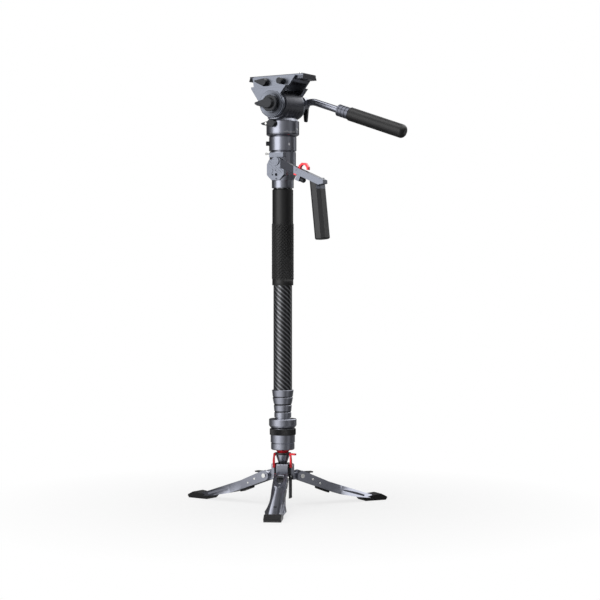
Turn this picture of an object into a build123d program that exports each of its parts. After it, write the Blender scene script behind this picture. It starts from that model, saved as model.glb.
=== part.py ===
from build123d import *
from math import cos, radians, sin, sqrt
import os

# Camera monopod with a three-legged foot, a ball-jointed base, a four-section twist-lock pole,
# a fold-out side handle and a fluid pan-and-tilt head with a pan bar. Millimetres, +Z up.
# The origin lies on the floor, on the pole's own axis.

# Directions, in degrees about the pole, where 0 is +X and 90 is +Y
front_leg_azimuth = -95.0
claw_azimuth = -35.0
pedal_azimuth = -45.0
button_azimuth = 180.0
head_azimuth = -32.0
pan_knob_azimuth = -122.0
leg_count = 3

# Clearances and overruns
run_fit = 0.05
slip_fit = 0.1
side_gap = 0.3
body_gap = 0.3
overrun = 5.0

# Hub and leg brackets
core_radius = 15.2
core_drop = 6.0
core_height = 28.5
core_edge = 1.2
bracket_reach = 17.6
bracket_half = 9.9
bracket_height = 19.1
bracket_edge = 1.5
hinge_reach = 32.5
tongue_half = 5.4
tongue_radius = 7.5
tongue_top = 6.0
tongue_bottom = 6.6

# Legs, measured from the hinge along the leg
leg_slope = 16.3
leg_length = 150.0
leg_end_height = 8.9
knuckle_radius = 9.0
leg_root_half = 12.0
fork_depth = 28.0
leg_section_shares = [
    (0.0, 1.0, -1.0, 1.0, 1.0),
    (0.353, 0.30, -1.39, 1.0, 1.0),
    (0.533, 0.20, -1.55, 0.92, 1.17),
    (0.747, 0.09, -1.22, 0.83, 1.54),
    (1.0, -0.04, -0.56, 0.78, 1.12),
]
trough_radius = 20.0
trough_depth = 1.8
trough_start_share = 0.27
pocket_length = 44.0
pocket_width = 4.4
pocket_centre_share = 0.71
pocket_drop = 4.6
pocket_floor_half = 12.6
bolt_radius = 2.5
bolt_head_radius = 3.8
bolt_head_height = 1.4
bolt_hex_radius = 1.8
bolt_hex_depth = 1.0

# Rubber feet and pads
foot_overhang = 23.5
foot_length = 49.0
foot_half = 14.5
foot_height = 11.4
foot_round = 3.0
pad_start = 36.0
pad_length = 27.0
pad_thickness = 3.4
pad_half = 7.0

# Leg latches, measured from the hinge along the leg
latch_pivot_along = 21.6
latch_pivot_drop = 1.0
latch_eye_radius = 2.8
latch_pin_radius = 1.2
latch_half = 4.9
latch_reach = 14.5
latch_rise = 13.8
latch_outline_shares = [
    (-0.83, 0.29), (-0.83, 0.76), (0.0, 1.0), (0.03, 0.84),
    (-0.40, 0.70), (0.16, 0.10), (-0.07, -0.18), (-0.19, 0.0),
]

# Ball stem, lock cone and claw
stem_radius = 6.0
stem_sink = 22.0
stem_cone_foot = 7.3
stem_cone_radius = 11.7
stem_cone_height = 13.4
seal_radius = 11.5
seal_height = 2.0
stem_band_radius = 10.0
stem_band_height = 3.5
neck_radius = 7.5
lock_cone_foot = 9.3
lock_cone_radius = 12.3
lock_cone_height = 4.9
ball_radius = 13.0
ball_rise = 14.7
claw_ring_wall = 2.5
claw_ring_height = 3.4
claw_arm_half = 2.0
claw_arm_depth = 2.9
claw_arm_drop = 25.5
claw_tab_reach = 27.5
claw_tab_height = 3.2

# Release pedal
pedal_drop = 0.4
pedal_length = 37.0
pedal_half = 2.4
pedal_depth = 3.4
pedal_eye_radius = 3.2
pedal_pin_radius = 1.3
pedal_ear = 1.6

# Ball liner and socket
liner_wall = 2.45
liner_half_height = 8.6
socket_depth = 14.3
socket_low_radius = 20.6
socket_low_height = 11.2
socket_round = 2.6
socket_groove = 1.9
socket_groove_depth = 0.9
socket_radius = 21.3
socket_band_height = 13.1
socket_mouth_radius = 17.6
socket_mouth_depth = 4.4
grip_ring_radius = 22.9
grip_ring_height = 10.5
grip_ring_wall = 3.2
socket_cap = 0.6
spigot_radius = 12.0
spigot_height = 11.0

# Pan collar and ferrule above the socket
collar_foot_radius = 20.3
collar_radius = 24.1
collar_cone_height = 5.0
collar_height = 16.5
collar_edge = 0.9
ferrule_neck_radius = 13.5
ferrule_neck = 2.9
ferrule_radius = 14.9
ferrule_height = 8.4

# Pole tubes, from the widest at the top to the thinnest at the bottom
tube_radii = [16.35, 14.2, 12.4, 10.75]
tube_wall = 1.05
lock_gaps = [1.4, 2.1, 1.9]
lock_heights = [11.5, 11.6, 10.5]
lock_low_radii = [17.6, 15.75, 14.9]
lock_top_radii = [18.9, 17.85, 15.75]
lock_edge = 0.5
lock_seat_share = 0.45
tube_sink = 5.5
tube_end_step = 8.0
bush_length = 28.0
rest_tube_span = 405.0
tube_seat = 45.7

# Grips on the top tube
hem_height = 9.0
hem_radius = 18.5
ribs_height = 99.5
rib_count = 16
rib_root_radius = 18.3
rib_crest_radius = 19.3
rib_land_share = 0.34
foam_height = 59.5
foam_radius = 18.3
foam_edge = 1.5

# Upper housing
housing_gap = 2.0
housing_low_radius = 19.2
housing_low_height = 13.0
housing_flare = 8.5
housing_radius = 23.1
housing_height = 63.0
housing_edge = 0.8
spindle_radius = 18.6
spindle_height = 27.0

# Side bracket, in u along the head's long direction and height up the pole
bracket_face = 24.8
octagon_half = 17.3
octagon_height = 36.0
octagon_corner = 9.0
octagon_base = 14.0
rim_wall = 1.8
cap_half = 14.2
cap_height = 8.0
cap_gap = 3.7
cap_offset = 1.6
accessory_hole_radius = 2.55
accessory_hole_depth = 7.0
accessory_hole_along = 2.0
accessory_hole_rise = 9.4
dowel_radius = 1.4
dowel_spacing = 7.8
pin_hole_rise = 7.2
boss_radius = 5.0
boss_height = 0.6
boss_along = -9.8
band_width = 3.0
band_angle = -40.0
band_depth = 0.5
band_rise = 24.0

# Side handle
pivot_along = 4.8
pivot_rise = 32.0
pivot_disc_radius = 7.2
pivot_disc_depth = 2.0
pivot_screw_circle = 4.4
pivot_screw_radius = 1.1
pivot_pin_radius = 2.6
arm_depth = 6.0
arm_root_half = 8.0
arm_root_length = 40.0
arm_slope = 23.5
arm_bar_length = 101.0
arm_bar_half = 5.6
arm_inner = 15.8
arm_slot = 7.6
arm_slot_start = 33.0
arm_slot_end = 66.0
handle_lean = 6.1
handle_setback = 14.31
handle_top_rise = 3.0
handle_length = 105.0
handle_width = 20.6
handle_depth = 27.0
handle_corner = 5.5
handle_cap = 19.0
handle_face = 30.2
trigger_half = 3.2
trigger_length = 28.5
trigger_height = 23.0
trigger_pivot_along = 45.0
trigger_pivot_rise = 1.5
trigger_pin_radius = 1.4
trigger_eye_radius = 3.0
trigger_outline_shares = [
    (-0.32, -0.30), (-0.08, -0.02), (0.08, 0.36), (0.28, 0.54), (0.56, 0.51),
    (0.74, 0.20), (0.74, -0.02), (0.63, -0.02), (0.62, 0.14), (0.50, 0.36),
    (0.31, 0.38), (0.20, 0.26), (0.13, -0.10), (-0.14, -0.40),
]
knob_block_length = 8.0
knob_block_half = 6.0
knob_block_height = 9.5
knob_block_along = 48.0
hand_knob_radius = 4.5
hand_knob_length = 8.0
hand_knob_pin = 1.5

# Quick-release sleeve, button and plunger
sleeve_gap = 1.4
sleeve_height = 24.8
sleeve_radius = 24.0
sleeve_edge = 0.7
button_radius = 3.85
button_reach = 29.4
button_depth = 21.4
button_rise = 13.4
plunger_radius = 1.25
plunger_reach = 30.6
plunger_drop = 3.2
plunger_sink = 5.0
plunger_head_radius = 1.9
plunger_head_length = 3.0

# Head pan base and pan knob
base_foot_radius = 21.0
base_foot_height = 0.3
base_radius = 28.7
base_low_radius = 24.5
base_chamfer = 2.6
base_groove = 1.1
base_groove_depth = 0.9
base_height = 25.9
base_edge = 0.6
post_radius = 10.0
post_height = 14.0
pan_knob_rise = 20.7
pan_knob_shaft = 3.0
pan_knob_radius = 6.4
pan_knob_depth = 3.0
pan_lever_length = 22.6
pan_lever_tip = 2.2
pan_lever_depth = 5.0
lever_draft = 12.0

# Head body and tilting cradle
tilt_rise = 28.5
drum_radius = 26.0
drum_half = 28.2
head_skirt_radius = 27.6
head_skirt_height = 4.3
neck_half_length = 20.0
neck_half_width = 24.0
neck_inset = 6.4
scallop_radius = 5.2
scallop_count = 5
scallop_depth = 1.5
scallop_angle = 40.0
trunnion_radius = 6.0
cheek_radius = 24.0
cheek_wall = 9.0
cheek_rise = 26.8
cheek_left_share = -1.55
cheek_right_share = 0.99
cheek_left_foot_share = -0.88
cheek_right_foot_share = 0.57
cheek_right_foot_rise = 13.0
drag_ring_radius = 22.6
drag_ring_bore = 15.4
drag_ring_depth = 2.6
drag_ring_dish = 1.8
drag_ring_edge = 0.6
tilt_knob_radius = 14.3
tilt_knob_depth = 4.6
tilt_lever_length = 27.0
tilt_lever_depth = 6.5
tilt_lever_root = 9.6
tilt_lever_tip = 3.4

# Plate clamp, plate and its screw
flange_height = 3.4
clamp_height = 20.7
clamp_half = 28.5
clamp_inner_half = 24.0
clamp_slab_top = 14.7
clamp_slab = 4.0
clamp_left_foot = -41.5
clamp_right_foot = 26.5
clamp_left_top = -44.5
clamp_right_top = 43.0
plate_half_length = 55.0
plate_foot_half = 24.0
plate_top_half = 21.0
plate_height = 9.0
plate_edge = 0.8
slot_half = 3.4
slot_start = -22.0
slot_end = 44.0
channel_half = 8.6
channel_depth = 5.4
screw_radius = 3.175
shank_radius = 2.6
screw_along = 38.0
screw_rise = 4.6
screw_head_radius = 6.6
screw_head_height = 2.8
washer_radius = 7.9
washer_height = 1.4
clamp_knob_along = -17.0
wheel_along = 18.0
clamp_knob_rise = 11.2
clamp_knob_radius = 7.2
clamp_knob_depth = 4.0
clamp_wing = 19.0
clamp_wing_lift = 2.6
clamp_wing_tip = 2.4
clamp_wing_depth = 6.5
wheel_radius = 5.4
wheel_depth = 14.0
wheel_flutes = 12
wheel_flute_radius = 1.0
knob_shaft_radius = 2.5

# Pan bar on the far side
rosette_along = 14.0
rosette_rise = 6.0
rosette_radius = 11.0
rosette_depth = 14.4
bar_radius = 6.0
bar_run = 22.0
bar_lift = 2.2
bar_drop = 19.0
bar_bend = 30.0
bar_length = 170.0
bar_collar_start = 54.0
bar_collar_length = 23.0
bar_collar_radius = 10.5
bar_collar_groove = 0.8
bar_collar_rings = 4
bar_grip_length = 115.0
bar_grip_radius = 12.0
bar_grip_round = 8.0
clamp_lever_length = 32.0
clamp_lever_radius = 5.6
clamp_lever_depth = 5.0
clamp_lever_tip = 2.6

# Heights and reaches that follow from the sizes above
hinge_height = leg_end_height + leg_length * sin(radians(leg_slope))
core_bottom = hinge_height - core_drop
core_top = core_bottom + core_height
pedal_height = hinge_height - pedal_drop
pedal_reach = core_radius + side_gap + pedal_eye_radius
foot_tip = hinge_reach + leg_length * cos(radians(leg_slope)) + foot_overhang
foot_back = foot_tip - foot_length
seal_bottom = core_top + stem_cone_height
band_bottom = seal_bottom + seal_height
lock_cone_bottom = band_bottom + stem_band_height
lock_cone_top = lock_cone_bottom + lock_cone_height
ball_height = lock_cone_top + ball_rise
socket_bottom = ball_height - socket_depth
grip_ring_bottom = socket_bottom + socket_low_height + socket_groove + socket_band_height
socket_top = grip_ring_bottom + grip_ring_height + socket_cap
collar_bottom = socket_top + body_gap
collar_top = collar_bottom + collar_height
ferrule_top = collar_top + ferrule_neck + ferrule_height
lock_bottoms = [0.0, 0.0, 0.0]
lock_bottoms[2] = ferrule_top + lock_gaps[2]
lock_bottoms[1] = lock_bottoms[2] + lock_heights[2] + lock_gaps[1]
lock_bottoms[0] = lock_bottoms[1] + lock_heights[1] + lock_gaps[0]
locks_top = lock_bottoms[0] + lock_heights[0]
tube_bottoms = [lock_bottoms[k] + lock_seat_share * lock_heights[k] for k in range(3)]
tube_bottoms.append(collar_top + ferrule_neck - tube_sink)
tube_top = tube_bottoms[0] + rest_tube_span
tube_tops = [tube_top - k * tube_end_step for k in range(4)]
housing_bottom = tube_top - tube_seat
foam_top = housing_bottom - housing_gap
foam_bottom = foam_top - foam_height
ribs_bottom = foam_bottom - ribs_height
hem_bottom = ribs_bottom - hem_height
housing_top = housing_bottom + housing_height
sleeve_bottom = housing_top + sleeve_gap
spindle_top = housing_top + spindle_height
base_bottom = spindle_top + base_foot_height
base_top = base_bottom + base_height
head_bottom = base_top + body_gap
tilt_height = head_bottom + tilt_rise
flange_bottom = tilt_height + cheek_rise
slab_top = flange_bottom + clamp_slab_top
clamp_top = flange_bottom + clamp_height
plate_bottom = slab_top + side_gap
plate_top = plate_bottom + plate_height
cheek_inner = drum_half + side_gap
cheek_face = cheek_inner + cheek_wall

# Planes that the pieces are placed by


def outward(azimuth, reach=1.0):
    # A level vector that leaves the pole's axis at the azimuth
    return Vector(reach * cos(radians(azimuth)), reach * sin(radians(azimuth)), 0)


def upright(azimuth, shift=0.0):
    # Stands through the pole's axis: x runs outward, y runs up, and the shift is along its normal
    along = outward(azimuth)
    return Plane(origin=(0, 0, 0), x_dir=along, z_dir=along.cross(Vector(0, 0, 1))).offset(shift)


def facing(azimuth, reach):
    # Stands square to the azimuth at a reach: x runs sideways and y runs up
    along = outward(azimuth)
    return Plane(origin=along * reach, x_dir=Vector(0, 0, 1).cross(along), z_dir=along)


def level(azimuth, height):
    # Lies flat at a height: x runs along the azimuth
    return Plane(origin=(0, 0, height), x_dir=outward(azimuth), z_dir=(0, 0, 1))


def spindle(origin, direction, side):
    # A plane whose y axis is a spindle's own axis, for turned pieces
    return Plane(origin=origin, x_dir=side, z_dir=side.cross(direction))


def along_leg(azimuth):
    # Lies in the leg's own mirror plane: origin on the hinge, x down the leg, y square to it
    out = outward(azimuth)
    down = out * cos(radians(leg_slope)) - Vector(0, 0, sin(radians(leg_slope)))
    hinge = out * hinge_reach + Vector(0, 0, hinge_height)
    return Plane(origin=hinge, x_dir=down, z_dir=out.cross(Vector(0, 0, 1)))


# Small modelling moves that repeat


def lathe(outline, plane=Plane.XZ, mode=Mode.ADD):
    # Turns a closed outline about the plane's y axis
    with BuildSketch(plane) as section:
        with BuildLine():
            Polyline(*outline, close=True)
        make_face()
    revolve(section.sketch, axis=Axis(plane.origin, plane.y_dir), mode=mode)


def prism(plane, outline, depth, both=False, mode=Mode.ADD):
    # Extrudes a closed outline off its plane
    with BuildSketch(plane) as section:
        with BuildLine():
            Polyline(*outline, close=True)
        make_face()
    extrude(section.sketch, amount=depth, both=both, mode=mode)


def disc(plane, centre, radius, depth, both=False, mode=Mode.ADD):
    # Extrudes a circle off its plane
    with BuildSketch(plane) as section:
        with Locations(centre):
            Circle(radius)
    extrude(section.sketch, amount=depth, both=both, mode=mode)


def paddle(plane, root_centre, root, tip_centre, tip, depth):
    # A knob's lever: a round root and a round tip joined by tangents, drawn in as it rises
    with BuildSketch(plane) as section:
        with Locations(root_centre):
            Circle(root)
        with Locations(tip_centre):
            Circle(tip)
        make_hull()
    extrude(section.sketch, amount=depth, taper=lever_draft)


def box_outline(left, right, bottom, top):
    return [(left, bottom), (right, bottom), (right, top), (left, top)]


def save(builder, name):
    builder.part.label = name
    export_step(builder.part, "parts/" + name + ".step")


os.makedirs("parts", exist_ok=True)
head_side = upright(head_azimuth)
head_front = facing(head_azimuth, 0)
side_normal = head_side.z_dir
leg_azimuths = [front_leg_azimuth + k * 360 / leg_count for k in range(leg_count)]
leg_names = ["front", "right", "left"]
claw_azimuths = [claw_azimuth + k * 360 / leg_count for k in range(leg_count)]

# The hub: a dark core with ears for the pedal, bored for the ball stem
pedal_plane = upright(pedal_azimuth)
ear_reach = pedal_reach + pedal_eye_radius
ear_outline = box_outline(0, ear_reach, pedal_height - pedal_eye_radius, pedal_height + pedal_eye_radius)
ear_offset = pedal_half + side_gap

with BuildPart() as hub_core:
    lathe([
        (0, core_bottom),
        (core_radius - core_edge, core_bottom),
        (core_radius, core_bottom + core_edge),
        (core_radius, core_top - core_edge),
        (core_radius - core_edge, core_top),
        (0, core_top),
    ])
    prism(pedal_plane.offset(ear_offset), ear_outline, pedal_ear)
    prism(pedal_plane.offset(-ear_offset - pedal_ear), ear_outline, pedal_ear)
    disc(pedal_plane, (pedal_reach, pedal_height), pedal_pin_radius, ear_offset + pedal_ear,
         both=True, mode=Mode.SUBTRACT)
    disc(Plane.XY.offset(core_top - stem_sink), (0, 0), stem_radius, stem_sink, mode=Mode.SUBTRACT)
save(hub_core, "hub_core")

# One bracket for each leg: a block against the core with a tongue for the hinge
with BuildPart() as leg_brackets:
    for azimuth in leg_azimuths:
        plane = upright(azimuth)
        prism(plane, [
            (0, core_top - bracket_height),
            (bracket_reach, core_top - bracket_height),
            (bracket_reach, core_top - bracket_edge),
            (bracket_reach - bracket_edge, core_top),
            (0, core_top),
        ], bracket_half, both=True)
        prism(plane, [
            (0, hinge_height - tongue_bottom),
            (hinge_reach, hinge_height - tongue_bottom),
            (hinge_reach, hinge_height + tongue_top),
            (0, hinge_height + tongue_top),
        ], tongue_half, both=True)
        disc(plane, (hinge_reach, hinge_height), tongue_radius, tongue_half, both=True)
        disc(plane, (hinge_reach, hinge_height), bolt_radius, tongue_half, both=True, mode=Mode.SUBTRACT)
    disc(Plane.XY, (0, 0), core_radius, core_top + overrun, mode=Mode.SUBTRACT)
save(leg_brackets, "leg_brackets")

# Hinge bolts, one through each fork and tongue, with a socket head and a round nut
bolt_face = leg_root_half + slip_fit
with BuildPart() as leg_bolts:
    for azimuth in leg_azimuths:
        plane = upright(azimuth)
        disc(plane, (hinge_reach, hinge_height), bolt_radius, bolt_face, both=True)
        for side in (plane.offset(bolt_face), plane.offset(-bolt_face - bolt_head_height)):
            disc(side, (hinge_reach, hinge_height), bolt_head_radius, bolt_head_height)
        with BuildSketch(plane.offset(bolt_face + bolt_head_height)) as socket:
            with Locations((hinge_reach, hinge_height)):
                RegularPolygon(bolt_hex_radius, 6)
        extrude(socket.sketch, amount=-bolt_hex_depth, mode=Mode.SUBTRACT)
save(leg_bolts, "leg_bolts")


def leg_point(share, index):
    # Interpolates one column of the leg's sections at a share of its length
    rows = leg_section_shares
    for low, high in zip(rows, rows[1:]):
        if share <= high[0]:
            part = (share - low[0]) / (high[0] - low[0])
            return low[index] + part * (high[index] - low[index])
    return rows[-1][index]


def build_leg(azimuth, name):
    # A lofted leg: straight cheeks at the knuckle, flaring sides, a trough that hugs the pole
    plane = along_leg(azimuth)
    slices = []
    for along, top, bottom, top_half, bottom_half in leg_section_shares:
        origin = plane.from_local_coords((along * leg_length, 0, 0))
        with BuildSketch(Plane(origin=origin, x_dir=plane.z_dir * -1, z_dir=plane.x_dir)) as slice_face:
            with BuildLine():
                Polyline(
                    (-bottom_half * leg_root_half, bottom * knuckle_radius),
                    (bottom_half * leg_root_half, bottom * knuckle_radius),
                    (top_half * leg_root_half, top * knuckle_radius),
                    (-top_half * leg_root_half, top * knuckle_radius),
                    close=True,
                )
            make_face()
        slices.append(slice_face.sketch)
    with BuildPart() as leg:
        loft(sections=slices, ruled=True)
        disc(plane, (0, 0), knuckle_radius, leg_root_half, both=True)
        fork = box_outline(-knuckle_radius - overrun, fork_depth, -2 * knuckle_radius, 2 * knuckle_radius)
        prism(plane, fork, tongue_half + side_gap, both=True, mode=Mode.SUBTRACT)
        disc(plane, (0, 0), bolt_radius + run_fit, leg_root_half + overrun, both=True, mode=Mode.SUBTRACT)
        disc(plane, (latch_pivot_along, -latch_pivot_drop), latch_pin_radius + run_fit,
             leg_root_half, both=True, mode=Mode.SUBTRACT)
        trough_start = trough_start_share * leg_length
        top_start = leg_point(trough_start_share, 1) * knuckle_radius
        top_end = leg_section_shares[-1][1] * knuckle_radius
        fall = Vector(leg_length - trough_start, top_end - top_start, 0).normalized()
        direction = plane.x_dir * fall.X + plane.y_dir * fall.Y
        start = plane.from_local_coords((trough_start, top_start, 0))
        trough = Plane(origin=start, x_dir=plane.z_dir * -1, z_dir=direction)
        disc(trough, (0, trough_radius - trough_depth), trough_radius, 2 * leg_length, mode=Mode.SUBTRACT)
        for turn in (1, -1):
            face = plane.offset(turn * pocket_floor_half)
            with BuildSketch(face) as pocket:
                with Locations((pocket_centre_share * leg_length, -pocket_drop)):
                    SlotOverall(pocket_length, pocket_width)
            extrude(pocket.sketch, amount=turn * leg_root_half, mode=Mode.SUBTRACT)
    save(leg, "leg_" + name)
    return leg


def build_foot(azimuth, name, leg):
    # The rubber shoe at the tip and the rubber pad under the middle, both moulded onto the leg
    plane = upright(azimuth)
    slanted = along_leg(azimuth)
    with BuildPart() as foot:
        prism(plane, [
            (foot_back, foot_height / 2),
            (foot_back + foot_height / 2, 0),
            (foot_tip - foot_round, 0),
            (foot_tip, foot_round),
            (foot_tip, foot_height / 2),
            (foot_tip - foot_height, foot_height),
            (foot_back + 2 * foot_height, foot_height - foot_round / 2),
        ], foot_half, both=True)
        add(leg.part, mode=Mode.SUBTRACT)
        keep = foot.part.solids().sort_by(SortBy.VOLUME)[-1]
        add(keep, mode=Mode.REPLACE)
    with BuildPart() as pad:
        pad_end = pad_start + pad_length
        low_start = leg_point(pad_start / leg_length, 2) * knuckle_radius
        low_end = leg_point(pad_end / leg_length, 2) * knuckle_radius
        prism(slanted, [
            (pad_start, low_start + pad_thickness),
            (pad_start + pad_thickness, low_start - pad_thickness),
            (pad_end - pad_thickness / 2, low_end - pad_thickness),
            (pad_end, low_end + pad_thickness),
        ], pad_half, both=True)
        add(leg.part, mode=Mode.SUBTRACT)
    with BuildPart() as rubber:
        add(foot.part)
        add(pad.part.solids().sort_by(Axis.Z)[0])
    save(rubber, "foot_" + name)


def build_latch(azimuth, name):
    # The sprung lever in the fork, on its own cross pin, whose tab is pulled to let the leg fold
    plane = along_leg(azimuth)
    with BuildPart() as latch:
        prism(plane, [
            (latch_pivot_along + along * latch_reach, rise * latch_rise - latch_pivot_drop)
            for along, rise in latch_outline_shares
        ], latch_half, both=True)
        disc(plane, (latch_pivot_along, -latch_pivot_drop), latch_eye_radius, latch_half, both=True)
        disc(plane, (latch_pivot_along, -latch_pivot_drop), latch_pin_radius, leg_root_half, both=True)
    save(latch, "latch_" + name)


for azimuth, name in zip(leg_azimuths, leg_names):
    leg = build_leg(azimuth, name)
    build_foot(azimuth, name, leg)
    build_latch(azimuth, name)

# The stem that carries the ball, turned in one piece with its inverted cone, flange and band
with BuildPart() as ball_stem:
    neck_along = sqrt(ball_radius**2 - neck_radius**2)
    with BuildSketch(Plane.XZ) as section:
        with BuildLine():
            foot = Polyline(
                (0, ball_height + ball_radius),
                (0, core_top - stem_sink),
                (stem_radius, core_top - stem_sink),
                (stem_radius, core_top),
                (stem_cone_foot, core_top),
                (stem_cone_radius, seal_bottom),
                (seal_radius, seal_bottom),
                (seal_radius, band_bottom),
                (stem_band_radius, band_bottom),
                (stem_band_radius, lock_cone_bottom),
                (neck_radius, lock_cone_bottom),
                (neck_radius, ball_height - neck_along),
            )
            ThreePointArc(foot @ 1, (ball_radius, ball_height), (0, ball_height + ball_radius))
        make_face()
    revolve(section.sketch, axis=Axis.Z)
save(ball_stem, "ball_stem")

with BuildPart() as lock_cone:
    lathe([
        (neck_radius, lock_cone_bottom),
        (lock_cone_foot, lock_cone_bottom),
        (lock_cone_radius, lock_cone_top),
        (neck_radius, lock_cone_top),
    ])
save(lock_cone, "lock_cone")

# The claw that frees the ball: a ring round the neck, three arms down beside the core and a foot tab
claw_inner = stem_cone_radius + 2 * slip_fit + side_gap
claw_outer = claw_inner + claw_ring_wall
claw_top = lock_cone_bottom - slip_fit
claw_bottom = claw_top - claw_ring_height
claw_arm_inner = core_radius + 2 * body_gap
with BuildPart() as lock_claw:
    lathe(box_outline(claw_inner, claw_outer, claw_bottom, claw_top))
    for azimuth in claw_azimuths:
        prism(upright(azimuth), [
            (claw_inner + claw_ring_wall / 2, claw_top),
            (claw_arm_inner + claw_ring_wall / 2, claw_top),
            (claw_arm_inner + claw_arm_depth, claw_top - claw_arm_drop / 2),
            (claw_arm_inner + claw_arm_depth, claw_top - claw_arm_drop),
            (claw_arm_inner, claw_top - claw_arm_drop),
            (claw_arm_inner, claw_bottom - claw_ring_wall),
            (claw_inner + claw_ring_wall / 2, claw_bottom),
        ], claw_arm_half, both=True)
    tab = box_outline(claw_outer - claw_ring_wall / 2, claw_tab_reach, claw_top - claw_tab_height, claw_top)
    prism(upright(claw_azimuth), tab, claw_arm_half, both=True)
save(lock_claw, "lock_claw")

# The pedal hangs from the core's ears on its own cross pin
with BuildPart() as release_pedal:
    pedal_foot = pedal_height - pedal_length
    prism(pedal_plane, [
        (pedal_reach - pedal_depth / 2, pedal_height),
        (pedal_reach - pedal_depth / 2, pedal_foot),
        (pedal_reach + pedal_depth / 2, pedal_foot + pedal_depth / 2),
        (pedal_reach + pedal_depth / 2, pedal_height),
    ], pedal_half, both=True)
    eye_centre = (pedal_reach, pedal_height)
    disc(pedal_plane, eye_centre, pedal_eye_radius - 2 * slip_fit, pedal_half, both=True)
    disc(pedal_plane, eye_centre, pedal_pin_radius - run_fit, ear_offset + pedal_ear, both=True)
    disc(Plane.XY, (0, 0), core_radius + side_gap, core_top, mode=Mode.SUBTRACT)
save(release_pedal, "release_pedal")

# A thin spherical liner between the ball and its socket
liner_inner = ball_radius + run_fit
liner_outer = liner_inner + liner_wall


def sphere_x(radius, rise):
    return sqrt(radius**2 - rise**2)


with BuildPart() as ball_liner:
    with BuildSketch(Plane.XZ) as section:
        with BuildLine():
            low_in = (sphere_x(liner_inner, liner_half_height), ball_height - liner_half_height)
            low_out = (sphere_x(liner_outer, liner_half_height), ball_height - liner_half_height)
            top_in = (low_in[0], ball_height + liner_half_height)
            top_out = (low_out[0], ball_height + liner_half_height)
            Line(low_in, low_out)
            ThreePointArc(low_out, (liner_outer, ball_height), top_out)
            Line(top_out, top_in)
            ThreePointArc(top_in, (liner_inner, ball_height), low_in)
        make_face()
    revolve(section.sketch, axis=Axis.Z)
save(ball_liner, "ball_liner")

# The socket: two turned bands with a groove between, a seat for the rubber ring and the pan spigot
seat_radius = liner_outer + run_fit
lip_rise = liner_half_height + side_gap
lip_x = sphere_x(seat_radius, lip_rise)
band_base = socket_bottom + socket_low_height
band_start = band_base + socket_groove
ring_seat_radius = grip_ring_radius - grip_ring_wall
with BuildPart() as socket_housing:
    with BuildSketch(Plane.XZ) as section:
        with BuildLine():
            top_lip = (lip_x, ball_height + lip_rise)
            outline = Polyline(
                top_lip,
                (lip_x, ball_height + ball_radius + body_gap),
                (0, ball_height + ball_radius + body_gap),
                (0, socket_top + spigot_height),
                (spigot_radius, socket_top + spigot_height),
                (spigot_radius, socket_top),
                (ring_seat_radius, socket_top),
                (ring_seat_radius, grip_ring_bottom),
                (socket_radius, grip_ring_bottom),
                (socket_radius, band_start),
                (socket_radius - socket_groove_depth, band_start),
                (socket_low_radius - socket_groove_depth, band_base),
                (socket_low_radius, band_base),
                (socket_low_radius, socket_bottom + socket_round),
            )
            TangentArc(outline @ 1, (socket_low_radius - socket_round, socket_bottom), tangent=(0, -1))
            mouth = Polyline(
                (socket_low_radius - socket_round, socket_bottom),
                (socket_mouth_radius, socket_bottom),
                (socket_mouth_radius - socket_groove_depth, socket_bottom + socket_mouth_depth),
                (lip_x, ball_height - lip_rise),
            )
            ThreePointArc(mouth @ 1, (seat_radius, ball_height), top_lip)
        make_face()
    revolve(section.sketch, axis=Axis.Z)
save(socket_housing, "socket_housing")

with BuildPart() as socket_grip_ring:
    lathe([
        (ring_seat_radius, grip_ring_bottom),
        (grip_ring_radius - socket_cap, grip_ring_bottom),
        (grip_ring_radius, grip_ring_bottom + socket_cap),
        (grip_ring_radius, grip_ring_bottom + grip_ring_height - socket_cap),
        (grip_ring_radius - socket_cap, grip_ring_bottom + grip_ring_height),
        (ring_seat_radius, grip_ring_bottom + grip_ring_height),
    ])
save(socket_grip_ring, "socket_grip_ring")

# The collar turns on the spigot and holds the thinnest tube, with a ferrule above it
with BuildPart() as pan_collar:
    bore = spigot_radius + run_fit
    bore_top = socket_top + spigot_height + body_gap
    cone_top = collar_bottom + collar_cone_height
    lathe([
        (bore, collar_bottom),
        (collar_foot_radius, collar_bottom),
        (collar_radius, cone_top),
        (collar_radius, collar_top - collar_edge),
        (collar_radius - collar_edge, collar_top),
        (tube_radii[3], collar_top),
        (tube_radii[3], tube_bottoms[3]),
        (0, tube_bottoms[3]),
        (0, bore_top),
        (bore, bore_top),
    ])

with BuildPart() as ferrule:
    lathe([
        (tube_radii[3], collar_top),
        (ferrule_neck_radius, collar_top),
        (ferrule_neck_radius, collar_top + ferrule_neck),
        (ferrule_radius, collar_top + ferrule_neck),
        (ferrule_radius, ferrule_top - lock_edge),
        (ferrule_radius - lock_edge, ferrule_top),
        (tube_radii[3], ferrule_top),
    ])

# The collar and its ferrule turn together, so they are saved as two solids of one piece
with BuildPart() as collar_set:
    add(pan_collar.part)
    add(ferrule.part)
save(collar_set, "pan_collar")

# Four carbon tubes, each in the next, with a guide bush round the top of each inner one
for k in range(4):
    outer = tube_radii[k]
    with BuildPart() as tube:
        lathe(box_outline(outer - tube_wall, outer, tube_bottoms[k], tube_tops[k]))
    save(tube, f"tube_{k + 1}")

for k in range(1, 4):
    guide = tube_radii[k - 1] - tube_wall - run_fit
    with BuildPart() as guide_bush:
        lathe(box_outline(tube_radii[k], guide, tube_tops[k] - bush_length, tube_tops[k]))
    save(guide_bush, f"guide_bush_{k + 1}")

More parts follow.
